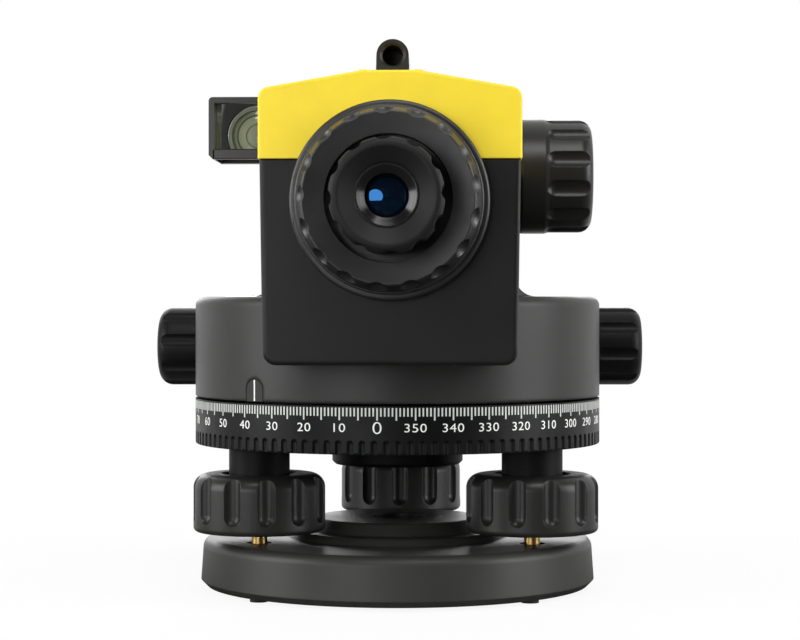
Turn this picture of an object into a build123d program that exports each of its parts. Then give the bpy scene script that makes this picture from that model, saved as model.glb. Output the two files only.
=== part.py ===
from build123d import *
import math
import os

# An automatic optical level, in millimetres.
# +Z is up, the observer stands on the -Y side at the eyepiece, the objective looks along +Y.
# The origin is the middle of the footprint, on the surface that the three pads stand on.

# Fits: radial or face gaps between pieces
SEAT_GAP = 0.02  # pressed, cemented or screwed together
RUNNING_GAP = 0.04  # turning or sliding on each other
FREE_GAP = 0.3  # passing close by
LIFT_GAP = 0.5  # one turning storey above another
CUT_PAST = 1.0  # how far a cutting tool runs past a face

# Small broken edges
FINE_ROUND = 0.4
EDGE_ROUND = 0.8

# Gear teeth, as shares of the module or of half a tooth
TOOTH_ADDENDUM = 0.9
TOOTH_DEDENDUM = 1.25
TOOTH_TIP = 0.5
TOOTH_ROOT = 1.7
TOOTH_PLAY = 0.22  # taken off each tooth and thread at the pitch line

# Base plate
PAD_HEIGHT = 0.7
PAD_SEAT = 0.8
PAD_R = 2.1
PAD_INSET = 3.7  # from the edge of the base
PAD_ANGLES = (225, 315, 90)
BASE_R = 48.6
BASE_RIM_R = 47.9
BASE_HEIGHT = 11.7
BASE_CHAMFER = 1.5
BASE_EDGE_ROUND = 2.4
LOW_STEP_R = 26.0
LOW_STEP_HEIGHT = 1.7
HIGH_STEP_R = 20.0
HIGH_STEP_HEIGHT = 3.0
STEP_SLOPE = 1.4
RECESS_RIM = 5.8
RECESS_DEPTH = 2.5
SPRING_PLATE_T = 1.0
SPRING_PLATE_HOLE_R = 12.0
PLATE_SCREW_CIRCLE_R = 30.0
PLATE_SCREW_ANGLES = (30, 150, 270)
PLATE_SCREW_DEPTH = 5.0

# Tripod thread: 5/8 inch, 11 turns an inch, drilled for tapping
TRIPOD_DRILL_R = 6.75
TRIPOD_BUSH_R = 11.0
TRIPOD_FLANGE_R = 13.5
TRIPOD_FLANGE_T = 2.0

# Screws, by shank
SCREW_R = 1.5
SCREW_HEAD_R = 2.7
SCREW_HEAD_T = 1.2
HEX_R = 1.25
HEX_DEPTH = 0.7

# Foot screws
FOOT_CIRCLE_R = 37.8
FOOT_ANGLES = {"left": 210, "right": 330, "rear": 90}
BALL_R = 3.4
BALL_PLAY = 1.1
BALL_ROOF = 2.6  # from the ball's middle up to the socket's roof
STEM_R = 1.9
NECK_GAP = 1.2
COLLAR_R = 4.0
COLLAR_T = 1.6
FOOT_SPINDLE_R = 3.0
FOOT_SPINDLE_RISE = 8.0
KNOB_LIFT = 2.9
FOOT_KNOB_R = 15.8
FOOT_KNOB_HEIGHT = 13.9
FOOT_KNOB_TOP_ROUND = 3.4
FOOT_KNOB_BOTTOM_ROUND = 1.2
FOOT_FLUTES = 12
FOOT_FLUTE_R = 2.3
FOOT_FLUTE_DEPTH = 1.5
FOOT_FLUTE_START = 4.4
FOOT_TURNS = {"left": 11, "right": 15, "rear": 0}
CUP_R = 8.6
CUP_FLOOR = 4.3

# Levelling head
COLUMN_R = 7.3
COLUMN_LIFT = 3.5  # from the knob's cup floor up to the column
COLUMN_LENGTH = 13.2
COLUMN_BORE_R = 4.6
NUT_R = 6.0
NUT_T = 3.0
NUT_LIFT = 5.5  # from the column's end up to the nut
NUT_GAP = 0.2  # thread play, which lets the head lean
BORE_ROOF = 1.3
HEAD_T = 5.0
HUB_R = 16.2
HUB_DROP = 6.1
HUB_CHAMFER = 0.8
CIRCLE_BOSS_R = 29.9
CIRCLE_BOSS_T = 2.7
SPINDLE_R = 7.0
AXIS_BUSH_WALL = 2.0
SLEEVE_WALL = 3.0
SHOULDER_STEP = 2.0
END_RECESS_DEPTH = 2.9

# Horizontal circle
CIRCLE_WALL = 4.3
CIRCLE_BELOW_HEAD = 0.7
CIRCLE_HEIGHT = 11.05
CIRCLE_FLANGE_T = 2.0
CIRCLE_RETAINER_R = 33.0
CIRCLE_RETAINER_T = 1.4
NOTCHES = 114
NOTCH_R = 0.8
NOTCH_DEPTH = 0.55
NOTCH_HEIGHT = 2.5

# Endless tangent drive: a worm on a cross shaft turns the instrument round a wheel held by a clutch
GEAR_MODULE = 0.75
WHEEL_TEETH = 52
WHEEL_T = 6.0
WHEEL_LIFT = 14.5  # from the top of the head's disc up to the wheel
WORM_PITCH_R = 4.5
WORM_LENGTH = 14.2
CLUTCH_SPRING_T = 0.4
CLUTCH_NUT_RIM = 4.0
CLUTCH_NUT_T = 2.0
SLEEVE_STAND = 0.2  # the sleeve stands this far above the clutch nut
WASHER_T = 0.5
DRIVE_SHAFT_R = 2.5
DRIVE_BUSH_R = 4.0
DRIVE_BOSS_R = 6.5
DRIVE_BOSS_STAND = 3.9  # beyond the drum's wall
DRIVE_BOSS_LENGTH = 10.0
DRIVE_KNOB_R = 10.0
DRIVE_KNOB_LENGTH = 13.7
DRIVE_KNOB_GAP = 0.8
DRIVE_KNOB_CAP = 2.4
DRIVE_KNOB_ROUND = 3.4
DRIVE_FLUTES = 9
DRIVE_FLUTE_R = 2.2
DRIVE_FLUTE_DEPTH = 0.8
DRIVE_FLUTE_START = 3.4

# Main housing: a drum that carries the telescope box
DRUM_R = 50.0
DRUM_WALL = 2.5
DRUM_ROUND = 2.2
WEB_T = 3.65
BOX_HALF = 28.5
BOX_TAPER = 0.7
BOX_DROP = 15.15  # the box hangs this far below the drum's top
BOX_RISE = 29.9  # and stands this far above it, up to the cover
BOX_EYE_Y = -68.0
BOX_SKY_Y = 62.0
BOX_WALL = 2.5
BOX_CORNER = 3.0
BOX_EDGE = 0.8
COVE_R = 5.0
COVE_END_INSET = 4.5
COVE_SINK = 0.4
FLOOR_T = 2.0
FLOOR_INSET = 0.3
FLOOR_HOLE_R = 22.0
FLOOR_POST_R = 3.4
FLOOR_POST_INSET = 7.0
FLOOR_POST_ANGLES = (90, 215, 325)
FLOOR_SCREW_LENGTH = 8.0
COVER_POST_INSET = 6.5
COVER_POST_EYE_INSET = 11.0
COVER_POST_SKY_INSET = 12.0
COVER_POST_R = 3.4
SPINDLE_FLANGE_T = 3.0
SPINDLE_SCREW_REACH = 6.5  # from the spindle's side
SPINDLE_FLANGE_RIM = 5.0
SPINDLE_SCREW_ANGLES = (45, 135, 225, 315)
END_SCREW_R = 2.5
END_SCREW_RIM = 1.6
END_RECESS_GAP = 1.0
END_SCREW_HEAD_T = 1.7
END_SCREW_LENGTH = 12.0
INDEX_ANGLE = 229.9
INDEX_WIDTH = 5.2
INDEX_HEIGHT = 5.2
INDEX_T = 0.8
INDEX_GAP = 0.2

# Top cover
COVER_OVERHANG = 0.3
COVER_HEIGHT = 19.25
COVER_FLAT_HALF = 6.0
COVER_SHOULDER = 15.25
COVER_SHOULDER_ROUND = 2.6
COVER_CROWN_ROUND = 6.0
COVER_WALL = 2.2
COVER_EDGE = 0.4
RIDGE_INNER = 5.0
RIDGE_TOP_IN = 5.4
RIDGE_TOP_OUT = 6.6
RIDGE_FOOT = 10.4
RIDGE_HEIGHT = 0.85
RIDGE_SETBACK = 7.0
RIDGE_SINK = 0.4

# Telescope
OPTIC_RISE = 20.7  # from the drum's top up to the line of sight
EYE_BOSS_R = 16.0
EYE_BOSS_STAND = 0.4
EYE_FLANGE_R = 21.8
EYE_FLANGE_T = 3.2
EYE_STEP_R = 20.4
EYE_STEP_T = 3.4
EYE_TUBE_WALL = 2.0
EYE_SLEEVE_WALL = 1.3
EYE_TUBE_BACK = 8.4
EYE_TUBE_FRONT = 9.0
EYE_COVER_R = 20.0
EYE_COVER_TIP_R = 18.6
EYE_COVER_LENGTH = 6.4
EYE_COVER_GAP = 1.6
EYE_COVER_DISH = 0.9
EYE_GRIPS = 17
EYE_GRIP_TURN = 8.6
EYE_GRIP_R = 3.0
EYE_GRIP_DEPTH = 0.6
EYE_GRIP_LENGTH = 2.6
EYE_BARREL_R = 9.0
EYE_BARREL_WALL = 3.0
EYE_BARREL_BACK = 2.4
EYE_NECK_STEP = 2.2
EYE_NECK_LENGTH = 7.0
EYE_MOUTH_RIM = 0.5
EYE_STOP_R = 4.6
EYE_STOP_DEPTH = 1.2
EYE_STOP_T = 0.6
EYE_LENS_T = 3.4
EYE_LENS_CURVE = 12.0
EYE_KNOB_WALL = 1.5
EYE_KNOB_REACH = 27.0  # from the box
EYE_KNOB_LENGTH = 16.5
EYE_KNOB_SKIRT = 7.4
EYE_KNOB_MOUTH_R = 10.2
EYE_DISH_DEPTH = 1.9
EYE_KNOB_ROUND = 1.6
EYE_KNOB_FLUTES = 12
EYE_KNOB_FLUTE_R = 2.4
EYE_KNOB_FLUTE_DEPTH = 0.75
EYE_KNOB_TURN = 3
RETICLE_HOLDER_T = 3.6
RETICLE_R = 6.5
RETICLE_T = 1.2
RETICLE_VIEW_R = 5.2
SKY_BOSS_RIM = 3.0
SKY_BOSS_T = 6.0
OBJECTIVE_NECK_STEP = 1.5
OBJECTIVE_BARREL_R = 22.5
OBJECTIVE_BARREL_WALL = 3.6
OBJECTIVE_LENGTH = 33.0
OBJECTIVE_LEDGE = 0.9
OBJECTIVE_ROUND = 1.2
OBJECTIVE_LENS_T = 9.0
OBJECTIVE_CURVE = 60.0
OBJECTIVE_INSET = 4.2
RETAINER_T = 2.2
BARREL_GROOVES = (6.0, 10.0, 26.0)  # from the box
BARREL_GROOVE_W = 1.2
BARREL_GROOVE_DEPTH = 0.6

# Focusing: a pinion on the knob's shaft moves a rack on the lens cell
FOCUS_Y = 5.0
FOCUS_RISE = 9.4  # from the line of sight up to the shaft
FOCUS_BOSS_R = 11.5
FOCUS_BOSS_STAND = 1.5
FOCUS_SHAFT_R = 2.5
FOCUS_BUSH_R = 5.0
FOCUS_BUSH_FLANGE_R = 8.0
FOCUS_BUSH_FLANGE_T = 1.4
FOCUS_BUSH_LENGTH = 10.0
FOCUS_KNOB_R = 14.0
FOCUS_COLLAR_R = 14.3
FOCUS_COLLAR_LENGTH = 6.2
FOCUS_KNOB_REACH = 19.8  # from the box
FOCUS_KNOB_CAP = 3.0
FOCUS_KNOB_ROUND = 3.2
FOCUS_FLUTES = 12
FOCUS_FLUTE_R = 2.6
FOCUS_FLUTE_DEPTH = 1.1
FOCUS_KNOB_TURN = 15
FOCUS_KNOB_STEP = 1.0
PINION_MODULE = 0.5
PINION_TEETH = 12
PINION_T = 4.0
PINION_ASIDE = 1.66  # from the guide tube
FOCUS_TRAVEL = 9.5
CELL_R = 10.0
CELL_LENGTH = 16.0
CELL_WALL = 2.0
CELL_LENS_T = 3.0
GUIDE_WALL = 1.5
GUIDE_LENGTH = 54.0
GUIDE_END = 3.0
GUIDE_FOOT_HALF = 6.0
GUIDE_FOOT_LENGTH = 9.0
RACK_ARM_T = 2.0
RACK_ARM_LENGTH = 14.0
RACK_ARM_RISE = 2.4
RACK_ARM_ROOT = 0.8  # how far the arm reaches into the cell and the rack
GUIDE_SLOT_GAP = 0.6

# Compensator: a prism hung on strips in a frame
COMP_Y = -37.5
COMP_HALF_X = 16.0
COMP_HALF_Y = 10.5
COMP_WALL = 2.5
COMP_FLOOR_T = 2.2
COMP_HEIGHT = 36.0
COMP_BAR_HALF_Y = 4.5
COMP_BAR_T = 2.0
STRIP_LENGTH = 5.8
STRIP_W = 1.6
STRIP_T = 0.3
STRIP_X = 7.0
STRIP_Y = 2.6
CARRIER_HALF_X = 9.0
CARRIER_HALF_Y = 5.0
CARRIER_HEIGHT = 16.0
CARRIER_WALL = 2.0
VANE_HALF_X = 4.0
VANE_T = 1.4
VANE_DROP = 7.0
DAMPER_HALF_X = 6.0
DAMPER_HALF_Y = 4.5
DAMPER_LAP = 5.5  # how deep the vane hangs in the damper
VANE_GAP = 0.5
PRISM_T = 3.6
PRISM_HEIGHT = 14.0
PRISM_ROOF = 3.0

# Circular level and the mirror above it
VIAL_Y = -2.2
VIAL_R = 7.0
VIAL_HEIGHT = 5.8
VIAL_CROWN_R = 24.0
VIAL_STAND = 0.5
HOLDER_WALL = 1.1
HOLDER_HEIGHT = 7.4
HOLDER_FLANGE_RIM = 0.8
HOLDER_FLANGE_T = 1.5
HOOD_WIDTH = 17.2
HOOD_EYE_Y = -10.0
HOOD_LENGTH = 20.0
HOOD_LOW = 33.65  # above the drum's top
HOOD_HEIGHT = 15.2
HOOD_WALL = 1.4
HOOD_CHAMFER = 1.0
HOOD_ROUND = 1.0
MIRROR_T = 1.2
MIRROR_SET_BACK = 1.0
MIRROR_AHEAD = 10.6  # the mirror's middle, behind the hood's mouth
MIRROR_DEPTH = 6.7  # and above its lower edge

# Peep sight
SIGHT_WIDTH = 7.4
SIGHT_BASE_WIDTH = 7.7
SIGHT_HEIGHT = 9.4
SIGHT_EYE_Y = -46.0
SIGHT_LENGTH = 18.0
SIGHT_HOLE_R = 2.3
SIGHT_LIP_R = 2.9
SIGHT_LIP_T = 0.8
SIGHT_HOLE_DEPTH = 12.0

# Sizes that follow
BASE_TOP = PAD_HEIGHT + BASE_HEIGHT
RECESS_TOP = PAD_HEIGHT + RECESS_DEPTH
BALL_Z = RECESS_TOP + FREE_GAP + BALL_R
KNOB_BOTTOM = BASE_TOP + KNOB_LIFT
KNOB_TOP = KNOB_BOTTOM + FOOT_KNOB_HEIGHT
COLUMN_BOTTOM = KNOB_BOTTOM + CUP_FLOOR + COLUMN_LIFT
NUT_BOTTOM = COLUMN_BOTTOM + NUT_LIFT
HEAD_BOTTOM = COLUMN_BOTTOM + COLUMN_LENGTH
HEAD_TOP = HEAD_BOTTOM + HEAD_T
HUB_BOTTOM = HEAD_BOTTOM - HUB_DROP
CIRCLE_BOTTOM = HEAD_BOTTOM - CIRCLE_BELOW_HEAD
CIRCLE_TOP = CIRCLE_BOTTOM + CIRCLE_HEIGHT
BOSS_TOP = HEAD_TOP + CIRCLE_BOSS_T
WHEEL_BOTTOM = HEAD_TOP + WHEEL_LIFT
WHEEL_TOP = WHEEL_BOTTOM + WHEEL_T
CLUTCH_NUT_BOTTOM = WHEEL_TOP + CLUTCH_SPRING_T
SLEEVE_TOP = CLUTCH_NUT_BOTTOM + CLUTCH_NUT_T + SLEEVE_STAND
SPINDLE_FLANGE_BOTTOM = SLEEVE_TOP + WASHER_T
WEB_BOTTOM = SPINDLE_FLANGE_BOTTOM + SPINDLE_FLANGE_T
DRUM_TOP = WEB_BOTTOM + WEB_T
DRUM_BOTTOM = CIRCLE_TOP + LIFT_GAP
SPLIT_Z = DRUM_TOP + BOX_RISE
OPTIC_Z = DRUM_TOP + OPTIC_RISE
ROOF_Z = SPLIT_Z + COVER_HEIGHT
WHEEL_PITCH_R = GEAR_MODULE * WHEEL_TEETH / 2
DRIVE_Y = WHEEL_PITCH_R + WORM_PITCH_R
DRIVE_Z = WHEEL_BOTTOM + WHEEL_T / 2
FOCUS_Z = OPTIC_Z + FOCUS_RISE
PINION_PITCH_R = PINION_MODULE * PINION_TEETH / 2
RECESS_R = BASE_R - RECESS_RIM
PAD_CIRCLE_R = BASE_R - PAD_INSET
SOCKET_ROOF = BALL_Z + BALL_ROOF
NECK_R = STEM_R + NECK_GAP
CIRCLE_R = DRUM_R
HEAD_R = CIRCLE_R - CIRCLE_WALL - FREE_GAP
AXIS_BUSH_R = SPINDLE_R + AXIS_BUSH_WALL
SLEEVE_R = AXIS_BUSH_R + SLEEVE_WALL
SHOULDER_R = SLEEVE_R + SHOULDER_STEP
CLUTCH_NUT_R = SLEEVE_R + CLUTCH_NUT_RIM
SPINDLE_SCREW_CIRCLE_R = SPINDLE_R + SPINDLE_SCREW_REACH
SPINDLE_FLANGE_R = SPINDLE_SCREW_CIRCLE_R + SPINDLE_FLANGE_RIM
END_SCREW_HEAD_R = SPINDLE_R + END_SCREW_RIM
END_RECESS_R = END_SCREW_HEAD_R + END_RECESS_GAP
DRIVE_BOSS_REACH = math.sqrt(DRUM_R**2 - DRIVE_Y**2) + DRIVE_BOSS_STAND
FLOOR_TOP = DRUM_BOTTOM + FLOOR_INSET + FLOOR_T
FLOOR_POST_CIRCLE_R = DRUM_R - FLOOR_POST_INSET
BOX_HALF_LOW = BOX_HALF - BOX_TAPER
BOX_BOTTOM = DRUM_TOP - BOX_DROP
COVER_HALF = BOX_HALF + COVER_OVERHANG
COVER_POST_X = BOX_HALF - COVER_POST_INSET
COVER_POST_EYE_Y = BOX_EYE_Y + COVER_POST_EYE_INSET
COVER_POST_SKY_Y = BOX_SKY_Y - COVER_POST_SKY_INSET
COVER_SEAT_Z = SPLIT_Z + COVER_SHOULDER - 2 * SCREW_HEAD_T
EYE_TUBE_R = EYE_BARREL_R + EYE_TUBE_WALL
EYE_SLEEVE_R = EYE_BARREL_R + EYE_SLEEVE_WALL
EYE_BARREL_BORE_R = EYE_BARREL_R - EYE_BARREL_WALL
EYE_NECK_R = EYE_BARREL_R - EYE_NECK_STEP
EYE_MOUTH_R = EYE_NECK_R - EYE_MOUTH_RIM
EYE_KNOB_BORE_R = EYE_SLEEVE_R + FREE_GAP
EYE_KNOB_R = EYE_KNOB_BORE_R + EYE_KNOB_WALL
EYE_COVER_BORE_R = EYE_KNOB_R + EYE_COVER_GAP
OBJECTIVE_TIP_Y = BOX_SKY_Y + OBJECTIVE_LENGTH
OBJECTIVE_NECK_R = OBJECTIVE_BARREL_R - OBJECTIVE_NECK_STEP
OBJECTIVE_R = OBJECTIVE_BARREL_R - OBJECTIVE_BARREL_WALL
OBJECTIVE_VIEW_R = OBJECTIVE_R - OBJECTIVE_LEDGE
SKY_BOSS_R = OBJECTIVE_NECK_R + SKY_BOSS_RIM
FOCUS_KNOB_TIP_X = BOX_HALF + FOCUS_KNOB_REACH
CELL_BORE_R = CELL_R - CELL_WALL
GUIDE_R = CELL_R + RUNNING_GAP + GUIDE_WALL
PINION_END_X = GUIDE_R + PINION_ASIDE
HOLDER_R = VIAL_R + HOLDER_WALL
HOLDER_FLANGE_R = HOLDER_R + HOLDER_FLANGE_RIM
VIAL_X = HOLDER_FLANGE_R + FREE_GAP + DRUM_WALL - DRUM_R
HOOD_LEFT_X = -COVER_HALF - HOOD_WIDTH
HOOD_BOTTOM = DRUM_TOP + HOOD_LOW
HOOD_TOP = HOOD_BOTTOM + HOOD_HEIGHT
HOOD_SKY_Y = HOOD_EYE_Y + HOOD_LENGTH


# Building blocks
def disc(radius, low, high, x=0, y=0):
    """A cylinder that stands on Z between two heights."""
    return Pos(x, y, (low + high) / 2) * Cylinder(radius, high - low)


def ring(outer, inner, low, high, x=0, y=0):
    """A disc with a round hole."""
    return disc(outer, low, high, x, y) - disc(inner, low, high, x, y)


def block(x0, x1, y0, y1, z0, z1):
    """A box between two corners."""
    middle = Pos((x0 + x1) / 2, (y0 + y1) / 2, (z0 + z1) / 2)
    return middle * Box(x1 - x0, y1 - y0, z1 - z0)


def outline(points, rounds=None):
    """A closed flat face with some of its corners rounded, by number."""
    face = make_face(Polyline(*points, close=True))
    for corner, radius in (rounds or {}).items():
        face = fillet(face.vertices().sort_by_distance((*points[corner], 0))[0], radius)
    return face


def turned(points, rounds=None):
    """A piece turned about Z from an outline of radii and heights."""
    return revolve(Plane.XZ * outline(points, rounds), Axis.Z)


def run_along_y(face, y0, y1):
    """A face drawn in X and Z, drawn out along Y."""
    return Pos(0, y1, 0) * extrude(Plane.XZ * face, y1 - y0, dir=(0, -1, 0))


def to_eye(piece):
    """Lays a piece made on Z onto the line of sight, its +Z end towards the observer."""
    return Pos(0, 0, OPTIC_Z) * Rot(90, 0, 0) * piece


def to_sky(piece):
    """Lays a piece made on Z onto the line of sight, its +Z end towards the target."""
    return Pos(0, 0, OPTIC_Z) * Rot(-90, 0, 0) * piece


def to_right(piece, y, z):
    """Lays a piece made on Z along +X."""
    return Pos(0, y, z) * Rot(0, 90, 0) * piece


def to_left(piece, y, z):
    """Lays a piece made on Z along -X."""
    return Pos(0, y, z) * Rot(0, -90, 0) * piece


def around(count, turn=0):
    """Even places round Z."""
    return [Rot(0, 0, turn + 360 * i / count) for i in range(count)]


def polar(radius, angle):
    """X and Y of a place on a circle."""
    return radius * math.cos(math.radians(angle)), radius * math.sin(math.radians(angle))


def flutes(count, reach, groove, depth, low, high, round_low=True, round_high=False, turn=0):
    """Round grooves to cut into a knob of radius reach, with balls at the ends that stop in it."""
    cutters = []
    for place in around(count, turn):
        at = place * Pos(reach - depth + groove, 0, 0)
        cutters.append(at * disc(groove, low, high))
        if round_low:
            cutters.append(at * Pos(0, 0, low) * Sphere(groove))
        if round_high:
            cutters.append(at * Pos(0, 0, high) * Sphere(groove))
    return cutters


def hex_hole(x, y, low):
    """The six-sided hole for the key in a screw's head."""
    return Pos(x, y, low) * extrude(RegularPolygon(HEX_R, 6), HEX_DEPTH)


def screw(x, y, head_low, length, radius=SCREW_R, head_r=SCREW_HEAD_R, head_t=SCREW_HEAD_T):
    """A screw driven upwards, with its head below."""
    shank = disc(radius, head_low + head_t, head_low + head_t + length, x, y)
    return disc(head_r, head_low, head_low + head_t, x, y) + shank - hex_hole(x, y, head_low)


def lens(radius, back, front, curve):
    """A plano-convex lens on Z whose crown ends at front."""
    return disc(radius, back, front) & (Pos(0, 0, front - curve) * Sphere(curve))


def gear_outline(teeth, module, tooth_half_angle):
    """A toothed wheel's outline, with straight flanks from the root to the tip."""
    pitch_r = module * teeth / 2
    root_r = pitch_r - TOOTH_DEDENDUM * module
    tip_r = pitch_r + TOOTH_ADDENDUM * module
    half_root = TOOTH_ROOT * tooth_half_angle
    half_tip = TOOTH_TIP * tooth_half_angle
    points = []
    for i in range(teeth):
        middle = 360 * i / teeth
        points.append(polar(root_r, middle - half_root))
        points.append(polar(tip_r, middle - half_tip))
        points.append(polar(tip_r, middle + half_tip))
        points.append(polar(root_r, middle + half_root))
    return make_face(Polyline(*points, close=True))


# Base and foot screws
def foot_places():
    """X and Y of each foot screw, by name."""
    return {side: polar(FOOT_CIRCLE_R, angle) for side, angle in FOOT_ANGLES.items()}


def base_plate():
    """The round base with its stepped middle, ball sockets and underside recess."""
    low_top = BASE_TOP + LOW_STEP_HEIGHT
    high_top = low_top + HIGH_STEP_HEIGHT
    bore_r = TRIPOD_BUSH_R + SEAT_GAP
    points = [
        (bore_r, PAD_HEIGHT),
        (BASE_R - BASE_CHAMFER, PAD_HEIGHT),
        (BASE_R, PAD_HEIGHT + BASE_CHAMFER),
        (BASE_RIM_R, BASE_TOP),
        (LOW_STEP_R + STEP_SLOPE, BASE_TOP),
        (LOW_STEP_R, low_top),
        (HIGH_STEP_R + STEP_SLOPE, low_top),
        (HIGH_STEP_R, high_top),
        (bore_r, high_top),
    ]
    body = turned(points, {3: BASE_EDGE_ROUND, 5: EDGE_ROUND, 7: EDGE_ROUND})
    body -= disc(RECESS_R, PAD_HEIGHT, RECESS_TOP)
    body -= disc(TRIPOD_FLANGE_R + SEAT_GAP, RECESS_TOP, RECESS_TOP + TRIPOD_FLANGE_T)
    for x, y in foot_places().values():
        body -= disc(BALL_R + BALL_PLAY, RECESS_TOP, SOCKET_ROOF, x, y)
        body -= disc(NECK_R, SOCKET_ROOF, BASE_TOP, x, y)
    for angle in PLATE_SCREW_ANGLES:
        x, y = polar(PLATE_SCREW_CIRCLE_R, angle)
        body -= disc(SCREW_R + SEAT_GAP, RECESS_TOP, RECESS_TOP + PLATE_SCREW_DEPTH, x, y)
    for angle in PAD_ANGLES:
        x, y = polar(PAD_CIRCLE_R, angle)
        body -= disc(PAD_R + SEAT_GAP, PAD_HEIGHT, PAD_HEIGHT + PAD_SEAT, x, y)
    return body


def tripod_bush():
    """The flanged bush that takes the tripod's screw."""
    top = BASE_TOP + LOW_STEP_HEIGHT + HIGH_STEP_HEIGHT
    bush = disc(TRIPOD_BUSH_R, RECESS_TOP, top)
    bush += disc(TRIPOD_FLANGE_R, RECESS_TOP, RECESS_TOP + TRIPOD_FLANGE_T)
    return bush - disc(TRIPOD_DRILL_R, RECESS_TOP, top)


def spring_plate():
    """The plate under the base that keeps the foot balls in their sockets."""
    plate = ring(RECESS_R - FREE_GAP, SPRING_PLATE_HOLE_R, RECESS_TOP - SPRING_PLATE_T, RECESS_TOP)
    for angle in PLATE_SCREW_ANGLES:
        x, y = polar(PLATE_SCREW_CIRCLE_R, angle)
        plate -= disc(SCREW_R + SEAT_GAP, RECESS_TOP - SPRING_PLATE_T, RECESS_TOP, x, y)
    return plate


def spring_plate_screws():
    """The screws that hold the spring plate."""
    head_low = RECESS_TOP - SPRING_PLATE_T - SCREW_HEAD_T
    places = [polar(PLATE_SCREW_CIRCLE_R, angle) for angle in PLATE_SCREW_ANGLES]
    return [screw(x, y, head_low, SPRING_PLATE_T + PLATE_SCREW_DEPTH - FREE_GAP) for x, y in places]


def foot_pads():
    """The three pads that the base stands on."""
    places = [polar(PAD_CIRCLE_R, angle) for angle in PAD_ANGLES]
    return [disc(PAD_R, 0, PAD_HEIGHT + PAD_SEAT, x, y) for x, y in places]


def foot_pin(x, y):
    """A brass foot screw: a ball, a stem, a collar let into the knob and the spindle."""
    pin = Pos(0, 0, BALL_Z) * Sphere(BALL_R) + disc(STEM_R, BALL_Z, KNOB_BOTTOM)
    pin += disc(COLLAR_R, KNOB_BOTTOM, KNOB_BOTTOM + COLLAR_T)
    pin += disc(FOOT_SPINDLE_R, KNOB_BOTTOM, KNOB_TOP + FOOT_SPINDLE_RISE)
    return Pos(x, y, 0) * pin


def foot_knob(x, y, bore_gap, turn):
    """A fluted foot knob, with a cup in its top for the head's column."""
    bore_r = FOOT_SPINDLE_R + bore_gap
    recess_r = COLLAR_R + bore_gap
    recess_top = KNOB_BOTTOM + COLLAR_T
    points = [
        (recess_r, KNOB_BOTTOM),
        (FOOT_KNOB_R, KNOB_BOTTOM),
        (FOOT_KNOB_R, KNOB_TOP),
        (CUP_R, KNOB_TOP),
        (CUP_R, KNOB_BOTTOM + CUP_FLOOR),
        (bore_r, KNOB_BOTTOM + CUP_FLOOR),
        (bore_r, recess_top),
        (recess_r, recess_top),
    ]
    knob = turned(points, {1: FOOT_KNOB_BOTTOM_ROUND, 2: FOOT_KNOB_TOP_ROUND, 3: EDGE_ROUND})
    low = KNOB_BOTTOM + FOOT_FLUTE_START
    high = KNOB_TOP + CUT_PAST
    knob -= flutes(FOOT_FLUTES, FOOT_KNOB_R, FOOT_FLUTE_R, FOOT_FLUTE_DEPTH, low, high, turn=turn)
    return Pos(x, y, 0) * knob


# Levelling head, circle and clutch
def levelling_head():
    """The casting on the foot screws: hub, disc, three columns and the axis sleeve."""
    bore_r = AXIS_BUSH_R + SEAT_GAP
    points = [
        (bore_r, HUB_BOTTOM),
        (HUB_R - HUB_CHAMFER, HUB_BOTTOM),
        (HUB_R, HUB_BOTTOM + HUB_CHAMFER),
        (HUB_R, HEAD_BOTTOM),
        (HEAD_R, HEAD_BOTTOM),
        (HEAD_R, HEAD_TOP),
        (CIRCLE_BOSS_R, HEAD_TOP),
        (CIRCLE_BOSS_R, BOSS_TOP),
        (SHOULDER_R, BOSS_TOP),
        (SHOULDER_R, WHEEL_BOTTOM),
        (SLEEVE_R, WHEEL_BOTTOM),
        (SLEEVE_R, SLEEVE_TOP),
        (bore_r, SLEEVE_TOP),
    ]
    head = turned(points)
    head -= disc(END_RECESS_R, HUB_BOTTOM, HUB_BOTTOM + END_RECESS_DEPTH)
    for x, y in foot_places().values():
        head += disc(COLUMN_R, COLUMN_BOTTOM, HEAD_TOP, x, y)
        head -= disc(NUT_R + SEAT_GAP, COLUMN_BOTTOM, NUT_BOTTOM + NUT_T, x, y)
        head -= disc(COLUMN_BORE_R, NUT_BOTTOM, HEAD_TOP - BORE_ROOF, x, y)
    return head


def foot_nuts():
    """The brass nuts in the columns, which run on the foot screws."""
    nut = ring(NUT_R, FOOT_SPINDLE_R + NUT_GAP, NUT_BOTTOM, NUT_BOTTOM + NUT_T)
    return [Pos(x, y, 0) * nut for x, y in foot_places().values()]


def axis_bush():
    """The bronze bush that the spindle turns in."""
    return ring(AXIS_BUSH_R, SPINDLE_R + RUNNING_GAP, HUB_BOTTOM + END_RECESS_DEPTH, SLEEVE_TOP)


def clutch_spring():
    """The spring washer that presses on the worm wheel."""
    return ring(CLUTCH_NUT_R, SLEEVE_R + RUNNING_GAP, WHEEL_TOP, CLUTCH_NUT_BOTTOM)


def clutch_nut():
    """The nut that sets how hard the worm wheel is held."""
    return ring(CLUTCH_NUT_R, SLEEVE_R + SEAT_GAP, CLUTCH_NUT_BOTTOM, CLUTCH_NUT_BOTTOM + CLUTCH_NUT_T)


def circle_retainer():
    """The ring that keeps the circle down on the head."""
    return ring(CIRCLE_RETAINER_R, SHOULDER_R + SEAT_GAP, BOSS_TOP, BOSS_TOP + CIRCLE_RETAINER_T)


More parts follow.
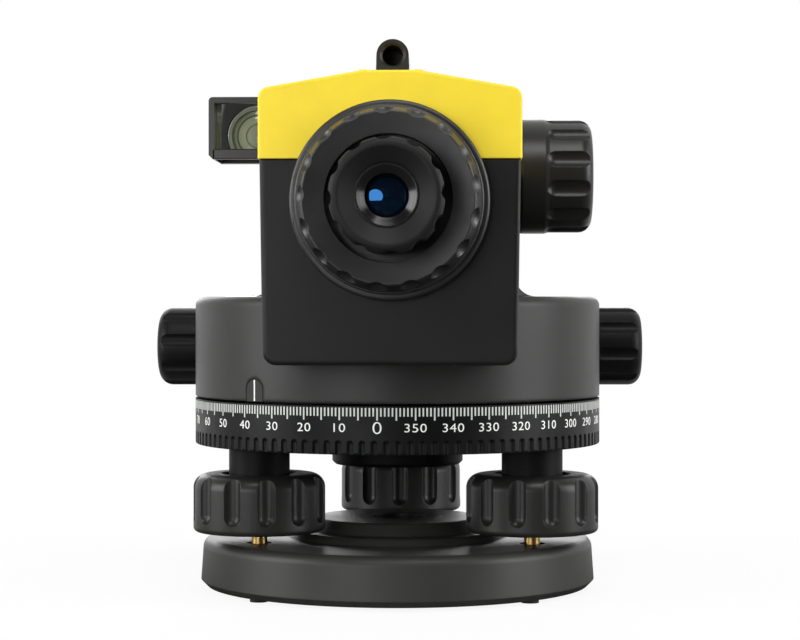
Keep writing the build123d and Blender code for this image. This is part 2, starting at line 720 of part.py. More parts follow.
def horizontal_circle():
    """The graduated ring, with a notched lower edge to turn it by and a flange that runs on the head."""
    inner_r = HEAD_R + FREE_GAP
    flange_top = BOSS_TOP - RUNNING_GAP
    flange_bottom = flange_top - CIRCLE_FLANGE_T
    points = [
        (inner_r, CIRCLE_BOTTOM),
        (CIRCLE_R, CIRCLE_BOTTOM),
        (CIRCLE_R, CIRCLE_TOP),
        (inner_r, CIRCLE_TOP),
        (inner_r, flange_top),
        (CIRCLE_BOSS_R + RUNNING_GAP, flange_top),
        (CIRCLE_BOSS_R + RUNNING_GAP, flange_bottom),
        (inner_r, flange_bottom),
    ]
    body = turned(points, {1: FINE_ROUND})
    low = CIRCLE_BOTTOM - CUT_PAST
    high = CIRCLE_BOTTOM + NOTCH_HEIGHT
    return body - flutes(NOTCHES, CIRCLE_R, NOTCH_R, NOTCH_DEPTH, low, high, round_low=False, round_high=True)


def worm_wheel():
    """The wheel that the worm works on, its teeth cut along the worm's lead."""
    lead_angle = math.atan(GEAR_MODULE / (2 * WORM_PITCH_R))
    twist = math.degrees(WHEEL_T * math.tan(lead_angle) / WHEEL_PITCH_R)
    tooth_half = 90 / WHEEL_TEETH - math.degrees(TOOTH_PLAY / 2 / WHEEL_PITCH_R)
    face = gear_outline(WHEEL_TEETH, GEAR_MODULE, tooth_half)
    face -= Circle(SLEEVE_R + RUNNING_GAP)
    wheel = Solid.extrude_linear_with_rotation(face.face(), (0, 0, 0), (0, 0, WHEEL_T), twist)
    return Pos(0, 0, WHEEL_BOTTOM) * Rot(0, 0, 90 - twist / 2) * wheel


# Cross shaft
def drive_worm():
    """The worm: one thread round a sleeve, made from its section by turning it along the shaft."""
    lead = math.pi * GEAR_MODULE
    root_r = WORM_PITCH_R - TOOTH_DEDENDUM * GEAR_MODULE
    tip_r = WORM_PITCH_R + TOOTH_ADDENDUM * GEAR_MODULE
    half_pitch_width = lead / 4 - TOOTH_PLAY / 2
    half_tip = TOOTH_TIP * half_pitch_width
    half_root = TOOTH_ROOT * half_pitch_width
    tip_angle = 360 * half_tip / lead
    root_angle = 360 * half_root / lead
    ramp = [0, 0.25, 0.5, 0.75, 1]
    up = [polar(root_r + (tip_r - root_r) * t, -root_angle + (root_angle - tip_angle) * t) for t in ramp]
    down = [(x, -y) for x, y in reversed(up)]
    edges = [
        Spline(*up),
        ThreePointArc(up[-1], (tip_r, 0), down[0]),
        Spline(*down),
        ThreePointArc(down[-1], (-root_r, 0), up[0]),
    ]
    section = make_face(edges)
    section -= Circle(DRIVE_SHAFT_R + SEAT_GAP)
    turns = 360 * WORM_LENGTH / lead
    thread = Solid.extrude_linear_with_rotation(section.face(), (0, 0, 0), (0, 0, WORM_LENGTH), turns)
    centred = Rot(0, 0, 90 - turns / 2) * Pos(0, 0, -WORM_LENGTH / 2) * thread
    return to_right(centred, DRIVE_Y, DRIVE_Z)


def drive_shaft():
    """The shaft right across the drum, with a knob at each end."""
    reach = DRIVE_BOSS_REACH + DRIVE_KNOB_GAP + DRIVE_KNOB_LENGTH - DRIVE_KNOB_CAP
    return to_right(disc(DRIVE_SHAFT_R, -reach, reach), DRIVE_Y, DRIVE_Z)


def drive_bushes():
    """The bushes in the drum's bosses."""
    low = DRIVE_BOSS_REACH - DRIVE_BOSS_LENGTH
    bush = ring(DRIVE_BUSH_R, DRIVE_SHAFT_R + RUNNING_GAP, low, DRIVE_BOSS_REACH)
    return [to_right(bush, DRIVE_Y, DRIVE_Z), to_left(bush, DRIVE_Y, DRIVE_Z)]


def drive_knob():
    """A fluted knob for either end of the cross shaft, on +Z."""
    low = DRIVE_BOSS_REACH + DRIVE_KNOB_GAP
    high = low + DRIVE_KNOB_LENGTH
    bore_r = DRIVE_SHAFT_R + SEAT_GAP
    points = [
        (0, high - DRIVE_KNOB_CAP),
        (bore_r, high - DRIVE_KNOB_CAP),
        (bore_r, low),
        (DRIVE_KNOB_R, low),
        (DRIVE_KNOB_R, high),
        (0, high),
    ]
    knob = turned(points, {3: EDGE_ROUND, 4: DRIVE_KNOB_ROUND})
    start = low + DRIVE_FLUTE_START
    return knob - flutes(DRIVE_FLUTES, DRIVE_KNOB_R, DRIVE_FLUTE_R, DRIVE_FLUTE_DEPTH, start, high)


# Main housing and what is fixed to it
def index_shape(width, height, thickness):
    """The arched index plate let into the drum's wall, or its pocket."""
    half = width / 2
    low = DRUM_BOTTOM
    arch_z = low + height - half
    face = outline([(-half, low), (half, low), (half, arch_z), (-half, arch_z)])
    face += Pos(0, arch_z) * Circle(half)
    slab = extrude(Plane.YZ * face, DRUM_R + CUT_PAST)
    return Rot(0, 0, INDEX_ANGLE) * (slab & ring(DRUM_R, DRUM_R - thickness, low, low + height))


def index_plate():
    """The plate with the line against which the circle is read."""
    return index_shape(INDEX_WIDTH, INDEX_HEIGHT, INDEX_T)


def floor_post_places():
    """X and Y of the posts that carry the drum's floor."""
    return [polar(FLOOR_POST_CIRCLE_R, angle) for angle in FLOOR_POST_ANGLES]


def cover_post_places():
    """X and Y of the four posts that the cover is screwed to."""
    return [(x, y) for x in (-COVER_POST_X, COVER_POST_X) for y in (COVER_POST_EYE_Y, COVER_POST_SKY_Y)]


def box_half_at(z):
    """Half the box's width at a height, between its narrow bottom and its top."""
    return BOX_HALF_LOW + BOX_TAPER * (z - BOX_BOTTOM) / (SPLIT_Z - BOX_BOTTOM)


def cove(side):
    """The hollow fillet between the drum's top and one side of the box."""
    high = DRUM_TOP + COVE_R
    low = DRUM_TOP - COVE_SINK
    near = box_half_at(high)
    far = near + COVE_R
    inside = near - BOX_WALL / 2
    waist = COVE_R * (1 - math.sqrt(0.5))
    corners = [(near, high), (inside, high), (inside, low), (far, low), (far, DRUM_TOP)]
    hollow = [(far, DRUM_TOP), (near + waist, DRUM_TOP + waist), (near, high)]
    edges = [
        Polyline(*[(side * x, z) for x, z in corners]),
        ThreePointArc(*[(side * x, z) for x, z in hollow]),
    ]
    return run_along_y(make_face(edges), -DRUM_R, DRUM_R) & disc(DRUM_R - COVE_END_INSET, low, high)


def main_housing():
    """The black casting: drum below, telescope box above, with its bosses and posts."""
    inner_r = DRUM_R - DRUM_WALL
    side = [(0, DRUM_BOTTOM), (DRUM_R, DRUM_BOTTOM), (DRUM_R, DRUM_TOP), (0, DRUM_TOP)]
    drum = turned(side, {1: FINE_ROUND, 2: DRUM_ROUND})
    corners = [
        (-BOX_HALF_LOW, BOX_BOTTOM),
        (BOX_HALF_LOW, BOX_BOTTOM),
        (BOX_HALF, SPLIT_Z),
        (-BOX_HALF, SPLIT_Z),
    ]
    box = run_along_y(outline(corners, {0: BOX_CORNER, 1: BOX_CORNER}), BOX_EYE_Y, BOX_SKY_Y)
    ends = box.edges().filter_by(Axis.Z, tolerance=3)
    box = fillet(ends, BOX_EDGE)
    body = drum + box
    for side in (-1, 1):
        body += cove(side)
    hollow_x = BOX_HALF_LOW - BOX_WALL
    body -= block(-hollow_x, hollow_x, BOX_EYE_Y + BOX_WALL, BOX_SKY_Y - BOX_WALL, DRUM_TOP, SPLIT_Z)
    for y0, y1 in ((BOX_EYE_Y + BOX_WALL, -DRUM_R), (DRUM_R, BOX_SKY_Y - BOX_WALL)):
        if y1 > y0:
            body -= block(-hollow_x, hollow_x, y0, y1, BOX_BOTTOM + BOX_WALL, DRUM_TOP)
    body -= disc(inner_r, DRUM_BOTTOM, WEB_BOTTOM)
    body += housing_bosses()
    return body - housing_holes()


def housing_bosses():
    """The seats and posts that stand on the housing's walls."""
    bosses = [to_eye(disc(EYE_BOSS_R, -BOX_EYE_Y - BOX_WALL, -BOX_EYE_Y + EYE_BOSS_STAND))]
    bosses.append(to_sky(disc(SKY_BOSS_R, BOX_SKY_Y - SKY_BOSS_T, BOX_SKY_Y)))
    focus_boss = disc(FOCUS_BOSS_R, BOX_HALF_LOW - BOX_WALL, BOX_HALF + FOCUS_BOSS_STAND)
    bosses.append(to_right(focus_boss, FOCUS_Y, FOCUS_Z))
    drive_boss = disc(DRIVE_BOSS_R, DRIVE_BOSS_REACH - DRIVE_BOSS_LENGTH, DRIVE_BOSS_REACH)
    bosses.append(to_right(drive_boss, DRIVE_Y, DRIVE_Z))
    bosses.append(to_left(drive_boss, DRIVE_Y, DRIVE_Z))
    for x, y in floor_post_places():
        bosses.append(disc(FLOOR_POST_R, FLOOR_TOP, WEB_BOTTOM, x, y))
    for x, y in cover_post_places():
        overhangs = abs(y) + COVER_POST_R > DRUM_R
        low = BOX_BOTTOM + BOX_WALL if overhangs else DRUM_TOP
        bosses.append(disc(COVER_POST_R, low, SPLIT_Z, x, y))
    return bosses


def housing_holes():
    """The bores and screw holes through the housing."""
    holes = [to_eye(disc(EYE_TUBE_R + SEAT_GAP, -BOX_EYE_Y - 2 * BOX_WALL, -BOX_EYE_Y + BOX_WALL))]
    holes.append(to_sky(disc(OBJECTIVE_NECK_R + SEAT_GAP, BOX_SKY_Y - 2 * SKY_BOSS_T, BOX_SKY_Y + CUT_PAST)))
    focus_hole = disc(FOCUS_BUSH_R + SEAT_GAP, BOX_HALF - 3 * BOX_WALL, BOX_HALF + BOX_WALL)
    holes.append(to_right(focus_hole, FOCUS_Y, FOCUS_Z))
    drive_low = DRIVE_BOSS_REACH - DRIVE_BOSS_LENGTH - CUT_PAST
    drive_hole = disc(DRIVE_BUSH_R + SEAT_GAP, drive_low, DRIVE_BOSS_REACH + CUT_PAST)
    holes.append(to_right(drive_hole, DRIVE_Y, DRIVE_Z))
    holes.append(to_left(drive_hole, DRIVE_Y, DRIVE_Z))
    for x, y in floor_post_places():
        holes.append(disc(SCREW_R + SEAT_GAP, FLOOR_TOP, FLOOR_TOP + FLOOR_SCREW_LENGTH, x, y))
    for x, y in cover_post_places():
        holes.append(disc(SCREW_R + SEAT_GAP, SPLIT_Z - FLOOR_SCREW_LENGTH, SPLIT_Z, x, y))
    for angle in SPINDLE_SCREW_ANGLES:
        x, y = polar(SPINDLE_SCREW_CIRCLE_R, angle)
        holes.append(disc(SCREW_R + SEAT_GAP, WEB_BOTTOM, DRUM_TOP - FREE_GAP, x, y))
    holes.append(disc(HOLDER_R + SEAT_GAP, WEB_BOTTOM, DRUM_TOP + COVE_R, VIAL_X, VIAL_Y))
    holes.append(index_shape(INDEX_WIDTH + 2 * INDEX_GAP, INDEX_HEIGHT + INDEX_GAP, INDEX_T + SEAT_GAP))
    return holes


def floor_plate():
    """The plate that closes the drum from below."""
    low = DRUM_BOTTOM + FLOOR_INSET
    plate = ring(DRUM_R - DRUM_WALL - FREE_GAP, FLOOR_HOLE_R, low, low + FLOOR_T)
    for x, y in floor_post_places():
        plate -= disc(SCREW_R + SEAT_GAP, low, low + FLOOR_T, x, y)
        plate -= disc(SCREW_HEAD_R + SEAT_GAP, low, low + SCREW_HEAD_T, x, y)
    return plate


def floor_screws():
    """The screws that hold the floor, their heads let in flush."""
    low = DRUM_BOTTOM + FLOOR_INSET
    length = FLOOR_T - SCREW_HEAD_T + FLOOR_SCREW_LENGTH - FREE_GAP
    return [screw(x, y, low, length) for x, y in floor_post_places()]


def spindle():
    """The steel spindle under the web, which turns in the bronze bush."""
    bottom = HUB_BOTTOM + END_RECESS_DEPTH - FREE_GAP
    body = disc(SPINDLE_R, bottom, WEB_BOTTOM)
    body += disc(SPINDLE_FLANGE_R, SPINDLE_FLANGE_BOTTOM, WEB_BOTTOM)
    body -= disc(END_SCREW_R + SEAT_GAP, bottom, bottom + END_SCREW_LENGTH)
    for angle in SPINDLE_SCREW_ANGLES:
        x, y = polar(SPINDLE_SCREW_CIRCLE_R, angle)
        body -= disc(SCREW_R + SEAT_GAP, SPINDLE_FLANGE_BOTTOM, WEB_BOTTOM, x, y)
        head_top = SPINDLE_FLANGE_BOTTOM + SCREW_HEAD_T
        body -= disc(SCREW_HEAD_R + SEAT_GAP, SPINDLE_FLANGE_BOTTOM, head_top, x, y)
    return body


def spindle_screws():
    """The screws through the spindle's flange into the web."""
    length = SPINDLE_FLANGE_T - SCREW_HEAD_T + WEB_T - 2 * FREE_GAP
    places = [polar(SPINDLE_SCREW_CIRCLE_R, angle) for angle in SPINDLE_SCREW_ANGLES]
    return [screw(x, y, SPINDLE_FLANGE_BOTTOM, length) for x, y in places]


def thrust_washer():
    """The washer that carries the upper part on the sleeve."""
    return ring(SLEEVE_R - FREE_GAP, SPINDLE_R + SEAT_GAP, SLEEVE_TOP + RUNNING_GAP, SPINDLE_FLANGE_BOTTOM)


def spindle_end_screw():
    """The wide-headed screw that keeps the spindle in its bush."""
    top = HUB_BOTTOM + END_RECESS_DEPTH - FREE_GAP
    low = top - END_SCREW_HEAD_T
    return screw(0, 0, low, END_SCREW_LENGTH - FREE_GAP, END_SCREW_R, END_SCREW_HEAD_R, END_SCREW_HEAD_T)


def cover_outline(inset):
    """The cover seen from the eyepiece, drawn in by a wall."""
    half = COVER_HALF - inset
    shoulder = SPLIT_Z + COVER_SHOULDER - inset
    roof = ROOF_Z - inset
    points = [
        (-half, SPLIT_Z),
        (half, SPLIT_Z),
        (half, shoulder),
        (COVER_FLAT_HALF, roof),
        (-COVER_FLAT_HALF, roof),
        (-half, shoulder),
    ]
    corner = COVER_SHOULDER_ROUND - inset
    return outline(points, {2: corner, 5: corner, 3: COVER_CROWN_ROUND, 4: COVER_CROWN_ROUND})


def ridge_outline(side):
    """One of the two ridges beside the sight's channel."""
    slope = (COVER_HEIGHT - COVER_SHOULDER) / (COVER_HALF - COVER_FLAT_HALF)
    top = ROOF_Z + RIDGE_HEIGHT
    foot_z = ROOF_Z - slope * (RIDGE_FOOT - COVER_FLAT_HALF) - RIDGE_SINK
    points = [
        (RIDGE_INNER, ROOF_Z - RIDGE_SINK),
        (RIDGE_TOP_IN, top),
        (RIDGE_TOP_OUT, top),
        (RIDGE_FOOT, foot_z),
    ]
    return outline([(side * x, z) for x, z in points])


def top_cover():
    """The yellow cover: a shell with a crowned roof, two ridges and notches for the housing's bosses."""
    eye_y = BOX_EYE_Y - COVER_OVERHANG
    sky_y = BOX_SKY_Y + COVER_OVERHANG
    cover = run_along_y(cover_outline(0), eye_y, sky_y)
    ends = cover.faces().sort_by(Axis.Y)
    rims = ends[0].edges() + ends[-1].edges()
    cover = chamfer([edge for edge in rims if edge.center().Z > SPLIT_Z + COVER_WALL], COVER_EDGE)
    for side in (-1, 1):
        cover += run_along_y(ridge_outline(side), eye_y + RIDGE_SETBACK, sky_y - RIDGE_SETBACK)
    cover -= run_along_y(cover_outline(COVER_WALL), eye_y + COVER_WALL, sky_y - COVER_WALL)
    under_roof = run_along_y(cover_outline(COVER_WALL / 2), eye_y + COVER_WALL, sky_y - COVER_WALL)
    for x, y in cover_post_places():
        cover += disc(COVER_POST_R, SPLIT_Z, ROOF_Z, x, y) & under_roof
    cover -= to_eye(disc(EYE_BOSS_R + FREE_GAP, -BOX_EYE_Y - 2 * BOX_WALL, -eye_y))
    cover -= to_sky(disc(SKY_BOSS_R + FREE_GAP, BOX_SKY_Y - 2 * SKY_BOSS_T, sky_y))
    cover -= to_right(disc(FOCUS_BOSS_R + FREE_GAP, BOX_HALF - 3 * BOX_WALL, COVER_HALF), FOCUS_Y, FOCUS_Z)
    for x, y in cover_post_places():
        cover -= disc(SCREW_R + SEAT_GAP, SPLIT_Z, ROOF_Z, x, y)
        cover -= disc(SCREW_HEAD_R + FREE_GAP, COVER_SEAT_Z, ROOF_Z, x, y)
    return cover


def cover_screws():
    """The screws down through the cover into the housing's posts."""
    low = SPLIT_Z - FLOOR_SCREW_LENGTH + FREE_GAP
    screws = []
    for x, y in cover_post_places():
        head_top = COVER_SEAT_Z + SCREW_HEAD_T
        head = disc(SCREW_HEAD_R, COVER_SEAT_Z, head_top, x, y) - hex_hole(x, y, head_top - HEX_DEPTH)
        screws.append(head + disc(SCREW_R, low, COVER_SEAT_Z, x, y))
    return screws


def peep_sight():
    """The arched sight on the roof, with a blind sighting hole at the observer's end."""
    half = SIGHT_WIDTH / 2
    base_half = SIGHT_BASE_WIDTH / 2
    arch_z = ROOF_Z + SIGHT_HEIGHT - half
    face = outline([(-base_half, ROOF_Z), (base_half, ROOF_Z), (half, arch_z), (-half, arch_z)])
    face += Pos(0, arch_z) * Circle(half)
    sight = run_along_y(face, SIGHT_EYE_Y, SIGHT_EYE_Y + SIGHT_LENGTH)
    hole = disc(SIGHT_HOLE_R, -SIGHT_HOLE_DEPTH, CUT_PAST)
    hole += Cone(SIGHT_LIP_R - SIGHT_LIP_T, SIGHT_LIP_R + SIGHT_LIP_T, 2 * SIGHT_LIP_T)
    return sight - Pos(0, SIGHT_EYE_Y, arch_z) * Rot(90, 0, 0) * hole


# Eyepiece, on Z with +Z towards the observer
EYE_SEAT = -BOX_EYE_Y + EYE_BOSS_STAND
EYE_FACE = EYE_SEAT + EYE_FLANGE_T + EYE_STEP_T
EYE_TUBE_LOW = EYE_SEAT - EYE_TUBE_BACK
EYE_BARREL_LOW = EYE_TUBE_LOW + RETICLE_HOLDER_T + EYE_BARREL_BACK
EYE_KNOB_TIP = EYE_KNOB_REACH - BOX_EYE_Y
EYE_KNOB_LOW = EYE_KNOB_TIP - EYE_KNOB_LENGTH
EYE_WEB_LOW = EYE_KNOB_LOW + EYE_KNOB_SKIRT
EYE_BARREL_TOP = EYE_WEB_LOW + EYE_NECK_LENGTH


def eyepiece_flange():
    """The stepped flange on the housing's end, with the tube that the eyepiece slides in."""
    bore_r = EYE_BARREL_R + RUNNING_GAP
    points = [
        (bore_r, EYE_TUBE_LOW),
        (EYE_TUBE_R, EYE_TUBE_LOW),
        (EYE_TUBE_R, EYE_SEAT),
        (EYE_FLANGE_R, EYE_SEAT),
        (EYE_FLANGE_R, EYE_SEAT + EYE_FLANGE_T),
        (EYE_STEP_R, EYE_SEAT + EYE_FLANGE_T),
        (EYE_STEP_R, EYE_FACE),
        (EYE_SLEEVE_R, EYE_FACE),
        (EYE_SLEEVE_R, EYE_FACE + EYE_TUBE_FRONT),
        (bore_r, EYE_FACE + EYE_TUBE_FRONT),
    ]
    return to_eye(turned(points, {4: EDGE_ROUND, 6: FINE_ROUND}))


def eyepiece_cover():
    """The ring round the eyepiece knob, with shallow grips cut in its front edge."""
    tip = EYE_FACE + EYE_COVER_LENGTH
    points = [
        (EYE_COVER_BORE_R, EYE_FACE),
        (EYE_COVER_R, EYE_FACE),
        (EYE_COVER_TIP_R, tip),
        (EYE_COVER_BORE_R, tip - EYE_COVER_DISH),
    ]
    body = turned(points, {2: FINE_ROUND})
    low = tip - EYE_GRIP_LENGTH
    high = tip + CUT_PAST
    body -= flutes(EYE_GRIPS, EYE_COVER_TIP_R, EYE_GRIP_R, EYE_GRIP_DEPTH, low, high, turn=EYE_GRIP_TURN)
    return to_eye(body)


def eyepiece_barrel():
    """The sliding tube that holds the eye lens behind a bevelled mouth."""
    lens_top = EYE_BARREL_TOP - EYE_STOP_DEPTH - EYE_STOP_T
    points = [
        (EYE_BARREL_BORE_R, EYE_BARREL_LOW),
        (EYE_BARREL_R, EYE_BARREL_LOW),
        (EYE_BARREL_R, EYE_WEB_LOW),
        (EYE_NECK_R, EYE_WEB_LOW),
        (EYE_NECK_R, EYE_BARREL_TOP),
        (EYE_MOUTH_R, EYE_BARREL_TOP),
        (EYE_STOP_R, EYE_BARREL_TOP - EYE_STOP_DEPTH),
        (EYE_STOP_R, lens_top),
        (EYE_BARREL_BORE_R, lens_top),
    ]
    return to_eye(turned(points))


def eye_lens():
    """The lens next to the eye."""
    top = EYE_BARREL_TOP - EYE_STOP_DEPTH - EYE_STOP_T - SEAT_GAP
    return to_eye(lens(EYE_BARREL_BORE_R - SEAT_GAP, top - EYE_LENS_T, top, EYE_LENS_CURVE))


def eyepiece_knob():
    """The fluted focusing ring of the eyepiece, dished towards the lens."""
    points = [
        (EYE_KNOB_BORE_R, EYE_KNOB_LOW),
        (EYE_KNOB_R, EYE_KNOB_LOW),
        (EYE_KNOB_R, EYE_KNOB_TIP),
        (EYE_KNOB_MOUTH_R, EYE_KNOB_TIP),
        (EYE_NECK_R + RUNNING_GAP, EYE_KNOB_TIP - EYE_DISH_DEPTH),
        (EYE_NECK_R + RUNNING_GAP, EYE_WEB_LOW + RUNNING_GAP),
        (EYE_KNOB_BORE_R, EYE_WEB_LOW + RUNNING_GAP),
    ]
    knob = turned(points, {2: EYE_KNOB_ROUND, 3: EDGE_ROUND})
    low = EYE_KNOB_LOW - CUT_PAST
    high = EYE_KNOB_TIP + CUT_PAST
    groove = (EYE_KNOB_FLUTE_R, EYE_KNOB_FLUTE_DEPTH, low, high)
    knob -= flutes(EYE_KNOB_FLUTES, EYE_KNOB_R, *groove, round_low=False, turn=EYE_KNOB_TURN)
    return to_eye(knob)


def reticle_holder():
    """The ring that holds the cross hairs at the focus."""
    points = [
        (RETICLE_VIEW_R, EYE_TUBE_LOW),
        (EYE_BARREL_R + SEAT_GAP, EYE_TUBE_LOW),
        (EYE_BARREL_R + SEAT_GAP, EYE_TUBE_LOW + RETICLE_HOLDER_T),
        (RETICLE_R + SEAT_GAP, EYE_TUBE_LOW + RETICLE_HOLDER_T),
        (RETICLE_R + SEAT_GAP, EYE_TUBE_LOW + RETICLE_HOLDER_T / 2),
        (RETICLE_VIEW_R, EYE_TUBE_LOW + RETICLE_HOLDER_T / 2),
    ]
    return to_eye(turned(points))


def reticle_glass():
    """The glass with the cross hairs."""
    low = EYE_TUBE_LOW + RETICLE_HOLDER_T / 2
    return to_eye(disc(RETICLE_R, low, low + RETICLE_T))


# Objective, on Z with +Z towards the target
def objective_barrel():
    """The objective's tube, screwed into the housing up to its shoulder."""
    seat = OBJECTIVE_TIP_Y - OBJECTIVE_INSET - RETAINER_T - OBJECTIVE_LENS_T
    points = [
        (OBJECTIVE_VIEW_R, BOX_SKY_Y - SKY_BOSS_T),
        (OBJECTIVE_NECK_R, BOX_SKY_Y - SKY_BOSS_T),
        (OBJECTIVE_NECK_R, BOX_SKY_Y),
        (OBJECTIVE_BARREL_R, BOX_SKY_Y),
        (OBJECTIVE_BARREL_R, OBJECTIVE_TIP_Y),
        (OBJECTIVE_R + SEAT_GAP, OBJECTIVE_TIP_Y),
        (OBJECTIVE_R + SEAT_GAP, seat),
        (OBJECTIVE_VIEW_R, seat),
    ]
    barrel = turned(points, {4: OBJECTIVE_ROUND, 5: EDGE_ROUND})
    for groove in BARREL_GROOVES:
        y = BOX_SKY_Y + groove
        floor_r = OBJECTIVE_BARREL_R - BARREL_GROOVE_DEPTH
        barrel -= ring(OBJECTIVE_BARREL_R + CUT_PAST, floor_r, y, y + BARREL_GROOVE_W)
    return to_sky(barrel)


def objective_lens():
    """The cemented front lens."""
    top = OBJECTIVE_TIP_Y - OBJECTIVE_INSET - RETAINER_T
    return to_sky(lens(OBJECTIVE_R, top - OBJECTIVE_LENS_T, top, OBJECTIVE_CURVE))


def objective_retainer():
    """The threaded ring in front of the objective lens."""
    low = OBJECTIVE_TIP_Y - OBJECTIVE_INSET - RETAINER_T
    return to_sky(ring(OBJECTIVE_R, OBJECTIVE_VIEW_R, low, low + RETAINER_T))


# Focusing
def focus_bush():
    """The flanged bush that the focusing shaft turns in."""
    seat = BOX_HALF + FOCUS_BOSS_STAND
    bush = disc(FOCUS_BUSH_R, seat - FOCUS_BUSH_LENGTH, seat)
    bush += disc(FOCUS_BUSH_FLANGE_R, seat, seat + FOCUS_BUSH_FLANGE_T)
    bush -= disc(FOCUS_SHAFT_R + RUNNING_GAP, seat - FOCUS_BUSH_LENGTH, seat + FOCUS_BUSH_FLANGE_T)
    return to_right(bush, FOCUS_Y, FOCUS_Z)


def focus_knob():
    """The focusing knob: a smooth collar that hides the bush's flange, then a fluted grip."""
    seat = BOX_HALF + FOCUS_BOSS_STAND
    low = seat + FREE_GAP
    floor = seat + FOCUS_BUSH_FLANGE_T + FREE_GAP
    recess_r = FOCUS_BUSH_FLANGE_R + FREE_GAP
    grip = low + FOCUS_COLLAR_LENGTH
    bore_r = FOCUS_SHAFT_R + SEAT_GAP
    points = [
        (0, FOCUS_KNOB_TIP_X - FOCUS_KNOB_CAP),
        (bore_r, FOCUS_KNOB_TIP_X - FOCUS_KNOB_CAP),
        (bore_r, floor),
        (recess_r, floor),
        (recess_r, low),
        (FOCUS_COLLAR_R, low),
        (FOCUS_COLLAR_R, grip),
        (FOCUS_KNOB_R, grip + FOCUS_KNOB_STEP),
        (FOCUS_KNOB_R, FOCUS_KNOB_TIP_X),
        (0, FOCUS_KNOB_TIP_X),
    ]
    knob = turned(points, {5: EDGE_ROUND, 7: FINE_ROUND, 8: FOCUS_KNOB_ROUND})
    start = grip + FOCUS_FLUTE_R
    groove = (FOCUS_FLUTE_R, FOCUS_FLUTE_DEPTH, start, FOCUS_KNOB_TIP_X)
    knob -= flutes(FOCUS_FLUTES, FOCUS_KNOB_R, *groove, turn=FOCUS_KNOB_TURN)
    return to_right(knob, FOCUS_Y, FOCUS_Z)


def focus_shaft():
    """The shaft with its pinion at the inner end, one tooth pointing down at the rack."""
    tip = FOCUS_KNOB_TIP_X - FOCUS_KNOB_CAP
    shaft = disc(FOCUS_SHAFT_R, PINION_END_X + PINION_T, tip)
    tooth_half = 90 / PINION_TEETH - math.degrees(TOOTH_PLAY / 2 / PINION_PITCH_R)
    pinion = extrude(gear_outline(PINION_TEETH, PINION_MODULE, tooth_half), PINION_T)
    return to_right(shaft + Pos(0, 0, PINION_END_X) * pinion, FOCUS_Y, FOCUS_Z)


def focus_cell():
    """The lens cell, with the arm and the rack that the pinion moves."""
    half = CELL_LENGTH / 2
    cell = to_sky(ring(CELL_R, CELL_BORE_R, FOCUS_Y - half, FOCUS_Y + half))
    arm_low = OPTIC_Z + RACK_ARM_RISE
    arm_left = math.sqrt(CELL_R**2 - (RACK_ARM_RISE + RACK_ARM_T) ** 2) - RACK_ARM_ROOT
    arm_y = (FOCUS_Y - RACK_ARM_LENGTH / 2, FOCUS_Y + RACK_ARM_LENGTH / 2)
    cell += block(arm_left, PINION_END_X + RACK_ARM_ROOT, *arm_y, arm_low, arm_low + RACK_ARM_T)
    pitch = math.pi * PINION_MODULE
    pitch_z = FOCUS_Z - PINION_PITCH_R
    half_tooth = pitch / 4 - TOOTH_PLAY / 2
    count = math.ceil((FOCUS_TRAVEL + PINION_PITCH_R) / pitch)
    rack_half = count * pitch
    root_z = pitch_z - TOOTH_DEDENDUM * PINION_MODULE
    tip_z = pitch_z + TOOTH_ADDENDUM * PINION_MODULE
    ends = (FOCUS_Y - rack_half, FOCUS_Y + rack_half)
    points = [(ends[0], arm_low), (ends[1], arm_low), (ends[1], root_z)]
    for i in range(count - 1, -count - 1, -1):
        middle = FOCUS_Y + (i + 0.5) * pitch
        points.append((middle + TOOTH_ROOT * half_tooth, root_z))
        points.append((middle + TOOTH_TIP * half_tooth, tip_z))
        points.append((middle - TOOTH_TIP * half_tooth, tip_z))
        points.append((middle - TOOTH_ROOT * half_tooth, root_z))
    points.append((ends[0], root_z))
    profile = Plane.YZ * make_face(Polyline(*points, close=True))
    rack = Pos(PINION_END_X, 0, 0) * extrude(profile, PINION_T, dir=(1, 0, 0))
    return cell + rack


def focus_lens():
    """The focusing lens in its cell."""
    half = CELL_LENS_T / 2
    return to_sky(disc(CELL_BORE_R - SEAT_GAP, FOCUS_Y - half, FOCUS_Y + half))


def focus_guide():
    """The slotted tube that the lens cell slides in, on two feet."""
    y0 = FOCUS_Y - GUIDE_LENGTH / 2
    y1 = FOCUS_Y + GUIDE_LENGTH / 2
    guide = to_sky(disc(GUIDE_R, y0, y1))
    for foot_y in (y0, y1 - GUIDE_FOOT_LENGTH):
        foot = (-GUIDE_FOOT_HALF, GUIDE_FOOT_HALF, foot_y, foot_y + GUIDE_FOOT_LENGTH)
        guide += block(*foot, DRUM_TOP, OPTIC_Z - CELL_R)
    guide -= to_sky(disc(CELL_R + RUNNING_GAP, y0, y1))
    slot_low = OPTIC_Z + RACK_ARM_RISE - GUIDE_SLOT_GAP
    slot_high = OPTIC_Z + RACK_ARM_RISE + RACK_ARM_T + GUIDE_SLOT_GAP
    guide -= block(0, GUIDE_R + CUT_PAST, y0 + GUIDE_END, y1 - GUIDE_END, slot_low, slot_high)
    return guide


# Compensator
COMP_FLOOR_TOP = DRUM_TOP + COMP_FLOOR_T
COMP_TOP = DRUM_TOP + COMP_HEIGHT
STRIP_BOTTOM = COMP_TOP - COMP_BAR_T - STRIP_LENGTH
CARRIER_TOP = STRIP_BOTTOM - FREE_GAP
CARRIER_BOTTOM = CARRIER_TOP - CARRIER_HEIGHT


